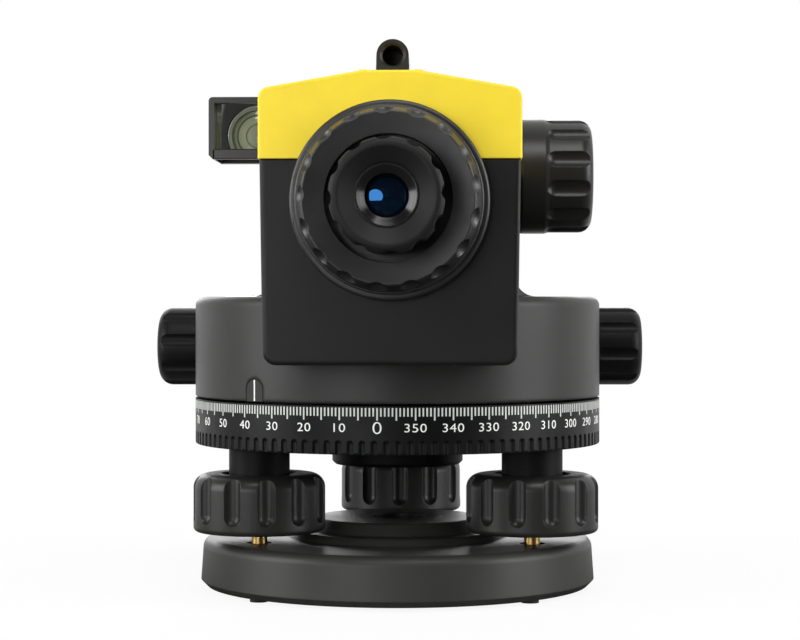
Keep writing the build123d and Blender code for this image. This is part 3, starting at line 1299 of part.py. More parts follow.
def compensator_frame():
    """The frame on the web that the pendulum hangs in, with the damper's slotted block."""
    y0 = COMP_Y - COMP_HALF_Y
    y1 = COMP_Y + COMP_HALF_Y
    inner = COMP_HALF_X - COMP_WALL
    frame = block(-COMP_HALF_X, COMP_HALF_X, y0, y1, DRUM_TOP, COMP_FLOOR_TOP)
    frame += block(-COMP_HALF_X, -inner, y0, y1, DRUM_TOP, COMP_TOP)
    frame += block(inner, COMP_HALF_X, y0, y1, DRUM_TOP, COMP_TOP)
    bar_y0 = COMP_Y - COMP_BAR_HALF_Y
    bar_y1 = COMP_Y + COMP_BAR_HALF_Y
    frame += block(-COMP_HALF_X, COMP_HALF_X, bar_y0, bar_y1, COMP_TOP - COMP_BAR_T, COMP_TOP)
    damper_y0 = COMP_Y - DAMPER_HALF_Y
    damper_y1 = COMP_Y + DAMPER_HALF_Y
    damper_top = CARRIER_BOTTOM - VANE_DROP + DAMPER_LAP
    frame += block(-DAMPER_HALF_X, DAMPER_HALF_X, damper_y0, damper_y1, DRUM_TOP, damper_top)
    slot_x = VANE_HALF_X + VANE_GAP
    slot_y = VANE_T / 2 + VANE_GAP
    slot_low = CARRIER_BOTTOM - VANE_DROP - VANE_GAP
    frame -= block(-slot_x, slot_x, COMP_Y - slot_y, COMP_Y + slot_y, slot_low, damper_top)
    return frame


def suspension_strips():
    """The four strips that the pendulum swings on."""
    half_w = STRIP_W / 2
    half_t = STRIP_T / 2
    strip = block(-half_w, half_w, -half_t, half_t, STRIP_BOTTOM, COMP_TOP - COMP_BAR_T)
    return [Pos(x, COMP_Y + y, 0) * strip for x in (-STRIP_X, STRIP_X) for y in (-STRIP_Y, STRIP_Y)]


def pendulum_carrier():
    """The swinging prism carrier, with the damper's vane below."""
    y0 = COMP_Y - CARRIER_HALF_Y
    y1 = COMP_Y + CARRIER_HALF_Y
    carrier = block(-CARRIER_HALF_X, CARRIER_HALF_X, y0, y1, CARRIER_BOTTOM, CARRIER_TOP)
    window = CARRIER_HALF_X - CARRIER_WALL
    carrier -= block(-window, window, y0, y1, CARRIER_BOTTOM + CARRIER_WALL, CARRIER_TOP - CARRIER_WALL)
    vane_y0 = COMP_Y - VANE_T / 2
    vane_y1 = COMP_Y + VANE_T / 2
    vane_low = CARRIER_BOTTOM - VANE_DROP
    return carrier + block(-VANE_HALF_X, VANE_HALF_X, vane_y0, vane_y1, vane_low, CARRIER_BOTTOM)


def pendulum_prism():
    """The prism in the carrier."""
    window = CARRIER_HALF_X - CARRIER_WALL - SEAT_GAP
    half_y = CARRIER_HALF_Y - FREE_GAP
    low = CARRIER_BOTTOM + CARRIER_WALL + SEAT_GAP
    high = CARRIER_TOP - CARRIER_WALL - SEAT_GAP
    return block(-window, window, COMP_Y - half_y, COMP_Y + half_y, low, high)


def fixed_prisms():
    """The two roofed prisms cemented between the frame's walls, before and behind the pendulum."""
    half = COMP_HALF_X - COMP_WALL - SEAT_GAP
    low = OPTIC_Z - PRISM_HEIGHT / 2
    high = OPTIC_Z + PRISM_HEIGHT / 2
    face = outline([(-half, low), (half, low), (half, high), (0, high + PRISM_ROOF), (-half, high)])
    eye_y = COMP_Y - COMP_HALF_Y
    sky_y = COMP_Y + COMP_HALF_Y - PRISM_T
    return [run_along_y(face, eye_y, eye_y + PRISM_T), run_along_y(face, sky_y, sky_y + PRISM_T)]


# Circular level and its mirror
def vial_holder():
    """The flanged cup of the circular level, pressed into the web from below."""
    holder = disc(HOLDER_R, DRUM_TOP - HOLDER_HEIGHT, DRUM_TOP)
    holder += disc(HOLDER_FLANGE_R, WEB_BOTTOM - HOLDER_FLANGE_T, WEB_BOTTOM)
    holder -= disc(VIAL_R + SEAT_GAP, DRUM_TOP + VIAL_STAND - VIAL_HEIGHT, DRUM_TOP)
    return Pos(VIAL_X, VIAL_Y, 0) * holder


def level_vial():
    """The round vial with its domed glass."""
    top = DRUM_TOP + VIAL_STAND
    return Pos(VIAL_X, VIAL_Y, 0) * lens(VIAL_R, top - VIAL_HEIGHT, top, VIAL_CROWN_R)


def mirror_slab(low, high):
    """A slab at 45 degrees in the hood, between two distances behind the mirror's face."""
    left = HOOD_LEFT_X + HOOD_WALL
    right = -COVER_HALF - HOOD_WALL
    slab = block(left, right, -HOOD_LENGTH, HOOD_LENGTH, low, high)
    return Pos(0, HOOD_EYE_Y + MIRROR_AHEAD, HOOD_BOTTOM + MIRROR_DEPTH) * Rot(-45, 0, 0) * slab


def bubble_hood():
    """The hood on the cover's left side, open towards the observer and down to the vial."""
    points = [
        (HOOD_LEFT_X + HOOD_CHAMFER, HOOD_BOTTOM),
        (-COVER_HALF, HOOD_BOTTOM),
        (-COVER_HALF, HOOD_TOP),
        (HOOD_LEFT_X, HOOD_TOP),
        (HOOD_LEFT_X, HOOD_BOTTOM + HOOD_CHAMFER),
    ]
    hood = run_along_y(outline(points, {3: HOOD_ROUND}), HOOD_EYE_Y, HOOD_SKY_Y)
    across = (HOOD_LEFT_X + HOOD_WALL, -COVER_HALF - HOOD_WALL)
    along = (HOOD_EYE_Y - CUT_PAST, HOOD_SKY_Y - HOOD_WALL)
    hollow = block(*across, *along, HOOD_BOTTOM - CUT_PAST, HOOD_TOP - HOOD_WALL)
    return hood - (hollow - mirror_slab(MIRROR_T, 2 * HOOD_LENGTH))


def bubble_mirror():
    """The mirror that shows the vial to the observer."""
    across = (HOOD_LEFT_X + HOOD_WALL + SEAT_GAP, -COVER_HALF - HOOD_WALL - SEAT_GAP)
    along = (HOOD_EYE_Y + MIRROR_SET_BACK, HOOD_SKY_Y - HOOD_WALL)
    room = block(*across, *along, HOOD_BOTTOM + HOOD_CHAMFER / 2, HOOD_TOP - HOOD_WALL)
    return mirror_slab(0, MIRROR_T) & room


def all_parts():
    """Every piece by name; a list holds separate solids of one kind."""
    parts = {
        "base_plate": base_plate(),
        "tripod_bush": tripod_bush(),
        "spring_plate": spring_plate(),
        "spring_plate_screws": spring_plate_screws(),
        "foot_pads": foot_pads(),
        "levelling_head": levelling_head(),
        "foot_nuts": foot_nuts(),
        "axis_bush": axis_bush(),
        "clutch_spring": clutch_spring(),
        "clutch_nut": clutch_nut(),
        "circle_retainer": circle_retainer(),
        "horizontal_circle": horizontal_circle(),
        "worm_wheel": worm_wheel(),
        "drive_worm": drive_worm(),
        "drive_shaft": drive_shaft(),
        "drive_bushes": drive_bushes(),
        "drive_knob_left": to_left(drive_knob(), DRIVE_Y, DRIVE_Z),
        "drive_knob_right": to_right(drive_knob(), DRIVE_Y, DRIVE_Z),
        "main_housing": main_housing(),
        "index_plate": index_plate(),
        "floor_plate": floor_plate(),
        "floor_screws": floor_screws(),
        "spindle": spindle(),
        "spindle_screws": spindle_screws(),
        "thrust_washer": thrust_washer(),
        "spindle_end_screw": spindle_end_screw(),
        "top_cover": top_cover(),
        "cover_screws": cover_screws(),
        "peep_sight": peep_sight(),
        "eyepiece_flange": eyepiece_flange(),
        "eyepiece_cover": eyepiece_cover(),
        "eyepiece_barrel": eyepiece_barrel(),
        "eye_lens": eye_lens(),
        "eyepiece_knob": eyepiece_knob(),
        "reticle_holder": reticle_holder(),
        "reticle_glass": reticle_glass(),
        "objective_barrel": objective_barrel(),
        "objective_lens": objective_lens(),
        "objective_retainer": objective_retainer(),
        "focus_bush": focus_bush(),
        "focus_knob": focus_knob(),
        "focus_shaft": focus_shaft(),
        "focus_cell": focus_cell(),
        "focus_lens": focus_lens(),
        "focus_guide": focus_guide(),
        "compensator_frame": compensator_frame(),
        "suspension_strips": suspension_strips(),
        "pendulum_carrier": pendulum_carrier(),
        "pendulum_prism": pendulum_prism(),
        "fixed_prisms": fixed_prisms(),
        "vial_holder": vial_holder(),
        "level_vial": level_vial(),
        "bubble_hood": bubble_hood(),
        "bubble_mirror": bubble_mirror(),
    }
    for side, (x, y) in foot_places().items():
        bore_gap = RUNNING_GAP if side == "rear" else SEAT_GAP
        parts[f"foot_pin_{side}"] = foot_pin(x, y)
        parts[f"foot_knob_{side}"] = foot_knob(x, y, bore_gap, FOOT_TURNS[side])
    return parts


os.makedirs("parts", exist_ok=True)
for name, piece in all_parts().items():
    shape = Compound(children=piece) if isinstance(piece, list) else piece
    export_step(shape, f"parts/{name}.step")
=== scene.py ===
"""An automatic optical level: finishes, printed marks and the studio it stands in."""
import logging
import math
from contextlib import contextmanager
from dataclasses import dataclass, field
from enum import Enum
from typing import Any, Iterable, Iterator, Union

import bpy
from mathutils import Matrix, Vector


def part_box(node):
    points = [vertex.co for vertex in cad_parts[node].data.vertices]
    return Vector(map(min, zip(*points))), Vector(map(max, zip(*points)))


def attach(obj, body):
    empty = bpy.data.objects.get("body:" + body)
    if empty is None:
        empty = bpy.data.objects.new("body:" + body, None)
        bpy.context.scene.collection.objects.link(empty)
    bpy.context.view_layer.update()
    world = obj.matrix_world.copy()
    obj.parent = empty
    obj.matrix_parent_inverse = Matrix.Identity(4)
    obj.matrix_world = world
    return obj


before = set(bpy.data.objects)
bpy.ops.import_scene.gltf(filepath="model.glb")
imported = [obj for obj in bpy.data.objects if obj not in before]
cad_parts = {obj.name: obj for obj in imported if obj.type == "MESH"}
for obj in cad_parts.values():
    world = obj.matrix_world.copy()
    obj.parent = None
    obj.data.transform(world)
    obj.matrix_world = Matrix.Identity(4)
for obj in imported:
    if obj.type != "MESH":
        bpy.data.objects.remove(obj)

log = logging.getLogger("optical_level")

MM = 0.001
PHOTO_WIDTH_PX = 800
PHOTO_HEIGHT_PX = 640
SENSOR_MM = 36.0
BEVEL_SAMPLES = 6
MERGE_REACH = 0.001 * MM
FULL_TURN = 360
WHITE = (1, 1, 1, 1)

Colour = tuple[float, float, float]
Point = tuple[float, float, float]
Span = tuple[float, float]


class Wire:
    """A shader value; arithmetic on it adds Math nodes to its graph."""

    def __init__(self, graph: "Graph", socket: bpy.types.NodeSocket) -> None:
        """Wraps a socket of a graph."""
        self.graph = graph
        self.socket = socket

    def _math(self, operation: str, first: "Value", second: "Value") -> "Wire":
        """One Math node on two values."""
        return self.graph.node("ShaderNodeMath", {"operation": operation}, {0: first, 1: second})

    def __add__(self, other: "Value") -> "Wire":
        """The sum."""
        return self._math("ADD", self, other)

    __radd__ = __add__

    def __sub__(self, other: "Value") -> "Wire":
        """The difference."""
        return self._math("SUBTRACT", self, other)

    def __rsub__(self, other: "Value") -> "Wire":
        """The difference, from a plain number."""
        return self._math("SUBTRACT", other, self)

    def __mul__(self, other: "Value") -> "Wire":
        """The product."""
        return self._math("MULTIPLY", self, other)

    __rmul__ = __mul__

    def or_more(self, other: "Value") -> "Wire":
        """The greater of two values."""
        return self._math("MAXIMUM", self, other)


Value = Union[Wire, float, int]


class Graph:
    """The nodes of a material or of the world, built by name."""

    def __init__(self, owner: bpy.types.Material | bpy.types.World) -> None:
        """Empties the owner's node tree.

        Args:
            owner: The material or the world.
        """
        owner.use_nodes = True
        self.tree = owner.node_tree
        self.tree.nodes.clear()

    def node(self, kind: str, settings: dict[str, Any] | None = None,
             inputs: dict[Any, Any] | None = None, output: Any = 0) -> Wire:
        """Adds one node.

        Args:
            kind: The node's type.
            settings: Its properties.
            inputs: Values or wires by socket name or number.
            output: The socket that the wire leaves by.

        Returns:
            The wire from that output.
        """
        made = self.tree.nodes.new(kind)
        for key, value in (settings or {}).items():
            setattr(made, key, value)
        for key, value in (inputs or {}).items():
            if isinstance(value, Wire):
                self.tree.links.new(value.socket, made.inputs[key])
            else:
                made.inputs[key].default_value = value
        return Wire(self, made.outputs[output] if made.outputs else made.inputs[0])

    def place(self, scale: Point = (1, 1, 1), at: Iterable[float] = (0, 0, 0)) -> Wire:
        """Object coordinates, moved so that a point of the object is the middle, then stretched.

        Args:
            scale: The stretch along X, Y and Z.
            at: The point that becomes the middle, in metres.

        Returns:
            The coordinates.
        """
        where = self.node("ShaderNodeTexCoord", output="Object")
        moved = tuple(-s * c for s, c in zip(scale, at))
        return self.node("ShaderNodeMapping", {"vector_type": "POINT"},
                         {"Vector": where, "Scale": scale, "Location": moved})

    def noise(self, where: Wire, size: float, detail: float = 3.0, roughness: float = 0.55) -> Wire:
        """Noise whose patches are about a size across.

        Args:
            where: The coordinates.
            size: The patch size, in metres.
            detail: The number of finer layers.
            roughness: How strong the finer layers are.

        Returns:
            A value from nought to one.
        """
        return self.node("ShaderNodeTexNoise", {"noise_dimensions": "3D"},
                         {"Vector": where, "Scale": 1.0 / size, "Detail": detail, "Roughness": roughness})

    def mix(self, share: Value, first: Any, second: Any) -> Wire:
        """A colour between two colours.

        Args:
            share: How much of the second colour, from nought to one.
            first: The first colour or wire.
            second: The second colour or wire.

        Returns:
            The mixed colour.
        """
        ends = [c if isinstance(c, Wire) else (*c, 1.0) for c in (first, second)]
        return self.node("ShaderNodeMix", {"data_type": "RGBA"}, {0: share, 6: ends[0], 7: ends[1]}, output=2)

    def away(self, where: Wire, across: Point) -> Wire:
        """The distance from an axis.

        Args:
            where: The coordinates, with the axis through their middle.
            across: One for each direction across the axis, nought along it.

        Returns:
            The distance, in metres.
        """
        flat = self.node("ShaderNodeVectorMath", {"operation": "MULTIPLY"}, {0: where, 1: across})
        return self.node("ShaderNodeVectorMath", {"operation": "LENGTH"}, {0: flat}, output="Value")

    def bump(self, height: Wire, depth: float, normal: Wire | None = None) -> Wire:
        """A bumped normal.

        Args:
            height: The height, from nought to one.
            depth: What one stands for, in metres.
            normal: A normal to start from.

        Returns:
            The normal.
        """
        inputs: dict[Any, Any] = {"Strength": 1.0, "Distance": depth, "Height": height}
        if normal is not None:
            inputs["Normal"] = normal
        return self.node("ShaderNodeBump", None, inputs)

    def eased(self, radius: float) -> tuple[Wire, Wire]:
        """Normals rounded at the edges, and how near an edge each point is.

        Args:
            radius: The rounding, in metres.

        Returns:
            The normal, and a mask that is one on edges.
        """
        soft = self.node("ShaderNodeBevel", {"samples": BEVEL_SAMPLES}, {"Radius": radius})
        hard = self.node("ShaderNodeNewGeometry", output="Normal")
        same = self.node("ShaderNodeVectorMath", {"operation": "DOT_PRODUCT"},
                         {0: soft, 1: hard}, output="Value")
        return soft, 1 - same

    def ramp(self, value: Wire, low: float, high: float) -> Wire:
        """Nought below low, one above high, and straight between."""
        return self.node("ShaderNodeMapRange", {"clamp": True},
                         {"Value": value, "From Min": low, "From Max": high, "To Min": 0.0, "To Max": 1.0})

    def principled(self, inputs: dict[str, Any]) -> Wire:
        """The main shader.

        Args:
            inputs: Numbers, plain colours or wires by socket name.

        Returns:
            The shader.
        """
        ready = {}
        for key, value in inputs.items():
            plain_colour = isinstance(value, tuple) and len(value) == 3
            ready[key] = (*value, 1.0) if plain_colour else value
        return self.node("ShaderNodeBsdfPrincipled", None, ready)

    def ray(self, kind: str) -> Wire:
        """One for rays of a kind, else nought."""
        return self.node("ShaderNodeLightPath", output=kind)

    def finish(self, shader: Wire, output: str = "ShaderNodeOutputMaterial") -> None:
        """Links the shader to the output."""
        self.node(output, None, {"Surface": shader})


@dataclass(frozen=True)
class Finish:
    """The base of every finish: a name and a way to make its material once."""

    name: str

    def shader(self, graph: Graph) -> Wire:
        """Builds the finish's nodes; each kind of finish has its own."""
        raise NotImplementedError

    def material(self) -> bpy.types.Material:
        """The finish's material, made the first time it is asked for.

        Returns:
            The material.
        """
        made = bpy.data.materials.get(self.name)
        if made is None:
            made = bpy.data.materials.new(self.name)
            graph = Graph(made)
            graph.finish(self.shader(graph))
        return made


class Around(Enum):
    """An axis, as the directions across it: one for each of them, nought along it."""

    UP = (1.0, 1.0, 0.0)
    ALONG = (1.0, 0.0, 1.0)
    ACROSS = (0.0, 1.0, 1.0)


@dataclass(frozen=True)
class Paint(Finish):
    """Sprayed paint or moulded plastic: a fine skin, uneven gloss, and edges made lighter, partly as rubbed
    wear and partly as a painted highlight.
    """

    colour: Colour = (0.03, 0.03, 0.03)
    # The edge colour: rubbed wear and a painted highlight along the edges.
    rubbed: Colour = (0.10, 0.10, 0.095)
    roughness: float = 0.45
    uneven: float = 0.10
    grain: float = 0.25 * MM
    grain_depth: float = 0.006 * MM
    edge: float = 0.35 * MM
    wear: float = 0.5
    specular: float = 0.5
    patch_size: float = 14 * MM
    patches: Span = (0.2, 0.8)
    patch_shade: float = 0.86
    chip_size: float = 2.5 * MM
    chips: Span = (0.42, 0.62)
    edge_wear: Span = (0.03, 0.25)
    grain_dulling: float = 0.04
    rub_polish: float = 0.08

    def shader(self, graph: Graph) -> Wire:
        """Grain on the normal, patches in the gloss and colour, and on the edges both wear and a painted
        highlight.

        Args:
            graph: The material's nodes.

        Returns:
            The shader.
        """
        where = graph.place()
        grain = graph.noise(where, self.grain, detail=2.0)
        patches = graph.noise(where, self.patch_size, detail=4.0)
        soft, near_edge = graph.eased(self.edge)
        chips = graph.noise(where, self.chip_size, detail=5.0, roughness=0.7)
        broken = graph.ramp(chips, *self.chips)
        # Edge mask: near every edge the colour is lightened, partly as rubbed wear and partly as a painted
        # highlight.
        worn = graph.ramp(near_edge, *self.edge_wear) * broken * self.wear
        shade = graph.ramp(patches, *self.patches)
        body = self.body(graph, where, shade)
        dulling = grain * self.grain_dulling - worn * self.rub_polish
        return graph.principled({
            "Base Color": graph.mix(worn, body, self.rubbed),
            "Roughness": self.roughness + (shade - 0.5) * self.uneven + dulling,
            "Specular IOR Level": self.specular,
            "Normal": graph.bump(grain, self.grain_depth, soft),
        })

    def patchy(self, graph: Graph, shade: Wire, colour: Colour) -> Wire:
        """A colour that is a little darker in patches."""
        return graph.mix(shade, tuple(self.patch_shade * c for c in colour), colour)

    def body(self, graph: Graph, where: Wire, shade: Wire) -> Wire:
        """The colour away from the edges.

        Args:
            graph: The material's nodes.
            where: The coordinates.
            shade: The patches, from nought to one.

        Returns:
            The colour.
        """
        return self.patchy(graph, shade, self.colour)


@dataclass(frozen=True)
class HousingPaint(Paint):
    """Paint on one casting, with the drum painted paler than the telescope box: painted light from the floor
    below.
    """

    # Painted light: the drum's colour is lighter than the box's, for the light the floor throws up onto the
    # drum.
    drum: Colour = (0.025, 0.025, 0.0240)
    drum_radius: float = 50.2 * MM
    drum_top: float = 71.6 * MM
    border: float = 0.2 * MM

    def body(self, graph: Graph, where: Wire, shade: Wire) -> Wire:
        """The paler drum colour, painted light from the floor, inside the drum's radius and under its top;
        the box's colour elsewhere.

        Args:
            graph: The material's nodes.
            where: The coordinates.
            shade: The patches, from nought to one.

        Returns:
            The colour.
        """
        away = graph.away(where, Around.UP.value)
        height = graph.node("ShaderNodeSeparateXYZ", None, {0: where}, output="Z")
        outside = graph.ramp(away, self.drum_radius, self.drum_radius + self.border)
        above = graph.ramp(height, self.drum_top, self.drum_top + self.border)
        box = self.patchy(graph, shade, self.colour)
        # The same paint, painted lighter on the drum as painted light.
        drum = self.patchy(graph, shade, self.drum)
        return graph.mix(outside.or_more(above), drum, box)


@dataclass(frozen=True)
class Turned(Finish):
    """Metal from the lathe: fine rings round an axis, faint stains and a painted highlight along the edges.
    """

    colour: Colour = (0.6, 0.6, 0.6)
    stained: Colour = (0.4, 0.4, 0.4)
    metallic: float = 1.0
    roughness: float = 0.28
    around: Around = Around.UP
    centre: Point = (0.0, 0.0, 0.0)
    pitch: float = 0.22 * MM
    depth: float = 0.004 * MM
    edge: float = 0.25 * MM
    specular: float = 0.5
    wobble_size: float = 3 * MM
    wobble: float = 5.0
    ring_dulling: float = 0.05
    stain_size: float = 6 * MM
    stains: Span = (0.35, 0.75)
    stain_share: float = 0.6
    stain_dulling: float = 0.10
    # The painted highlight: near the edges the colour is mixed towards a brighter copy of the metal's colour.
    bright_edge: Span = (0.05, 0.3)
    bright_share: float = 0.5
    bright_gain: float = 1.25
    bright_lift: float = 0.02

    def shader(self, graph: Graph) -> Wire:
        """Rings from the distance to the axis, and stains from noise.

        Args:
            graph: The material's nodes.

        Returns:
            The shader.
        """
        where = graph.place(at=self.centre)
        away = graph.away(where, self.around.value)
        along_axis = tuple(1.0 - keep for keep in self.around.value)
        along = graph.node("ShaderNodeVectorMath", {"operation": "DOT_PRODUCT"},
                           {0: where, 1: along_axis}, output="Value")
        wobble = graph.noise(where, self.wobble_size, detail=2.0)
        phase = (away + along) * (2 * math.pi / self.pitch) + wobble * self.wobble
        rings = graph.node("ShaderNodeMath", {"operation": "SINE"}, {0: phase}) * 0.5 + 0.5
        blots = graph.noise(where, self.stain_size, detail=5.0, roughness=0.65)
        stains = graph.ramp(blots, *self.stains)
        soft, near_edge = graph.eased(self.edge)
        # Painted highlight: edges are mixed towards a brighter, lit copy of the colour.
        edge_highlight = graph.ramp(near_edge, *self.bright_edge)
        body = graph.mix(stains * self.stain_share, self.colour, self.stained)
        lit = tuple(min(1.0, self.bright_gain * c + self.bright_lift) for c in self.colour)
        return graph.principled({
            "Base Color": graph.mix(edge_highlight * self.bright_share, body, lit),
            "Metallic": self.metallic,
            "Roughness": self.roughness + stains * self.stain_dulling + rings * self.ring_dulling,
            "Specular IOR Level": self.specular,
            "Normal": graph.bump(rings, self.depth, soft),
        })


@dataclass(frozen=True)
class Milled(Finish):
    """Plain sheet or milled metal with fine straight strokes."""

    colour: Colour = (0.62, 0.62, 0.63)
    roughness: float = 0.32
    stretch: Point = (1.0, 30.0, 30.0)
    stroke_size: float = 8 * MM
    stroke_depth: float = 0.004 * MM
    stroke_shade: float = 0.8
    stroke_dulling: float = 0.15
    edge: float = 0.2 * MM

    def shader(self, graph: Graph) -> Wire:
        """Stretched noise for the strokes.

        Args:
            graph: The material's nodes.

        Returns:
            The shader.
        """
        strokes = graph.noise(graph.place(self.stretch), self.stroke_size)
        soft, _ = graph.eased(self.edge)
        darker = tuple(self.stroke_shade * c for c in self.colour)
        return graph.principled({
            "Base Color": graph.mix(strokes, darker, self.colour),
            "Metallic": 1.0,
            "Roughness": self.roughness + strokes * self.stroke_dulling,
            "Normal": graph.bump(strokes, self.stroke_depth, soft),
        })


@dataclass(frozen=True)
class Optic(Finish):
    """A coated lens or prism with a tinted reflection: clear, or dark as before an unlit tube."""

    tint: Colour = (0.25, 0.45, 1.0)
    depth: Colour = (0.004, 0.006, 0.012)
    clear: float = 0.0
    index: float = 1.6
    specular: float = 0.9
    polish: float = 0.015
    dust_size: float = 1.2 * MM
    dust_colour: Colour = (0.5, 0.5, 0.5)
    dust_pale: Span = (0.55, 0.85)
    dust_share: float = 0.04
    dust_dull: Span = (0.6, 0.9)
    dust_dulling: float = 0.05

    def shader(self, graph: Graph) -> Wire:
        """Polished glass with faint dust in the gloss.

        Args:
            graph: The material's nodes.

        Returns:
            The shader.
        """
        dust = graph.noise(graph.place(), self.dust_size, detail=6.0, roughness=0.7)
        pale = graph.ramp(dust, *self.dust_pale) * self.dust_share
        return graph.principled({
            "Base Color": graph.mix(pale, self.depth, self.dust_colour),
            "Roughness": self.polish + graph.ramp(dust, *self.dust_dull) * self.dust_dulling,
            "IOR": self.index,
            "Transmission Weight": self.clear,
            "Specular Tint": self.tint,
            "Specular IOR Level": self.specular,
        })


@dataclass(frozen=True)
class Liquid(Finish):
    """The filled vial under its polished glass."""

    pale: Colour = (0.31, 0.33, 0.22)
    deep: Colour = (0.15, 0.17, 0.10)
    centre: Span = (0.0, 0.0)
    radius: float = 7 * MM
    rim_start: float = 0.55
    roughness: float = 0.20
    cloud_size: float = 4 * MM
    clouds: Span = (0.3, 0.9)
    cloud_share: float = 0.15
    cloud_dulling: float = 0.05
    coat_roughness: float = 0.02

    def shader(self, graph: Graph) -> Wire:
        """Paler in the middle, darker towards the wall, with a clear coat.

        Args:
            graph: The material's nodes.

        Returns:
            The shader.
        """
        where = graph.place(at=(*self.centre, 0.0))
        away = graph.away(where, Around.UP.value)
        rim = graph.ramp(away, self.rim_start * self.radius, self.radius)
        cloud = graph.noise(where, self.cloud_size)
        body = graph.mix(rim, self.pale, self.deep)
        milky = graph.ramp(cloud, *self.clouds) * self.cloud_share
        return graph.principled({
            "Base Color": graph.mix(milky, body, self.pale),
            "Roughness": self.roughness + cloud * self.cloud_dulling,
            "Coat Weight": 1.0,
            "Coat Roughness": self.coat_roughness,
        })


@dataclass(frozen=True)
class Silvering(Finish):
    """A front-silvered mirror with a trace of dust."""

    colour: Colour = (0.83, 0.85, 0.83)
    polish: float = 0.01
    dust_size: float = 2 * MM
    dust: Span = (0.5, 0.9)
    dust_shade: float = 0.9
    dust_dulling: float = 0.04

    def shader(self, graph: Graph) -> Wire:
        """Bright metal, faintly dulled in places.

        Args:
            graph: The material's nodes.

        Returns:
            The shader.
        """
        specks = graph.noise(graph.place(), self.dust_size, detail=6.0, roughness=0.7)
        dust = graph.ramp(specks, *self.dust)
        duller = tuple(self.dust_shade * c for c in self.colour)
        return graph.principled({
            "Base Color": graph.mix(dust, self.colour, duller),
            "Metallic": 1.0,
            "Roughness": self.polish + dust * self.dust_dulling,
        })


@dataclass(frozen=True)
class Print(Finish):
    """Filled engraving or printed marks."""

    colour: Colour = (0.82, 0.83, 0.81)
    worn: Colour = (0.55, 0.56, 0.54)
    roughness: float = 0.5
    thin_size: float = 1.5 * MM
    thin: Span = (0.5, 0.8)
    worn_share: float = 0.5
    grain: float = 0.2 * MM
    grain_depth: float = 0.003 * MM
    grain_dulling: float = 0.15

    def shader(self, graph: Graph) -> Wire:
        """Matt enamel, a little uneven.

        Args:
            graph: The material's nodes.

        Returns:
            The shader.
        """
        where = graph.place()
        thin = graph.ramp(graph.noise(where, self.thin_size, detail=4.0), *self.thin)
        fine = graph.noise(where, self.grain, detail=2.0)
        return graph.principled({
            "Base Color": graph.mix(thin * self.worn_share, self.colour, self.worn),
            "Roughness": self.roughness + fine * self.grain_dulling,
            "Normal": graph.bump(fine, self.grain_depth),
        })


def middle_of(node: str) -> Vector:
    """The middle of a CAD node's box."""
    low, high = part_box(node)
    return (low + high) / 2


SIGHT_LINE = (0.0, 0.0, middle_of("eye_lens").z)
BRASS_COLOUR = (0.80, 0.53, 0.20)
BRASS_STAIN = (0.50, 0.31, 0.12)
STEEL_COLOUR = (0.56, 0.57, 0.58)
STEEL_STAIN = (0.38, 0.37, 0.36)

CASTING = Paint("satin_black_casting", colour=(0.030, 0.030, 0.0288), rubbed=(0.06, 0.06, 0.058),
                roughness=0.46, grain=0.30 * MM, grain_depth=0.010 * MM, wear=0.35, specular=0.2)
# The drum of this casting is painted paler than its box, as painted light from the floor.
HOUSING = HousingPaint("satin_black_housing", colour=(0.0070, 0.0070, 0.0067), rubbed=(0.04, 0.04, 0.038),
                       roughness=0.40, grain=0.30 * MM, grain_depth=0.010 * MM, edge=1.1 * MM, wear=0.15,
                       specular=0.36)
BASE_CASTING = Paint("satin_black_base", colour=(0.0260, 0.0260, 0.0246), rubbed=(0.06, 0.06, 0.057),
                     roughness=0.43, grain=0.30 * MM, grain_depth=0.010 * MM, wear=0.40, specular=0.42)
# The levelling head's black paint is made darker than the other castings: painted shade for the shadow under
# the ring.
HEAD_CASTING = Paint("black_head_painted_shade", colour=(0.0045, 0.0045, 0.0043), rubbed=(0.030, 0.030, 0.029),
                     roughness=0.50, grain=0.30 * MM, grain_depth=0.010 * MM, wear=0.25, specular=0.16)
YELLOW = Paint("yellow_lacquer", colour=(0.97, 0.74, 0.036), rubbed=(0.98, 0.79, 0.14), roughness=0.36,
               uneven=0.05, grain=0.5 * MM, grain_depth=0.004 * MM, edge=0.5 * MM, wear=0.5, specular=0.3)
KNOB = Paint("moulded_black", colour=(0.0150, 0.0150, 0.0142), rubbed=(0.040, 0.040, 0.038), roughness=0.36,
             grain=0.18 * MM, grain_depth=0.006 * MM, edge=0.3 * MM, wear=0.45, specular=0.42)
# The drive knobs are the same moulded plastic as the other knobs, given a darker colour as painted shade.
DRIVE_KNOB = Paint("moulded_black_painted_shade", colour=(0.0050, 0.0050, 0.0048), rubbed=(0.030, 0.030, 0.029),
                   roughness=0.42, grain=0.18 * MM, grain_depth=0.006 * MM, edge=0.3 * MM, wear=0.35,
                   specular=0.18)
EYE_KNOB = Paint("eyepiece_black", colour=(0.0085, 0.0085, 0.0083), rubbed=(0.030, 0.030, 0.029),
                 roughness=0.52, grain=0.18 * MM, grain_depth=0.006 * MM, edge=0.3 * MM, wear=0.30,
                 specular=0.30)
GLOSS = Paint("gloss_black", colour=(0.0040, 0.0040, 0.0038), rubbed=(0.03, 0.03, 0.03), roughness=0.20,
              specular=0.22, uneven=0.05, grain=0.8 * MM, grain_depth=0.002 * MM, edge=0.4 * MM, wear=0.2)
RUBBER = Paint("black_rubber", colour=(0.011, 0.011, 0.011), rubbed=(0.03, 0.03, 0.03), roughness=0.68,
               grain=0.4 * MM, grain_depth=0.012 * MM, wear=0.3)
ANODISED_EYE = Turned("anodised_round_sight_line", colour=(0.008, 0.008, 0.008),
                      stained=(0.011, 0.011, 0.010), metallic=0.0, roughness=0.38, specular=0.9,
                      around=Around.ALONG, centre=SIGHT_LINE, pitch=0.3 * MM, depth=0.003 * MM)
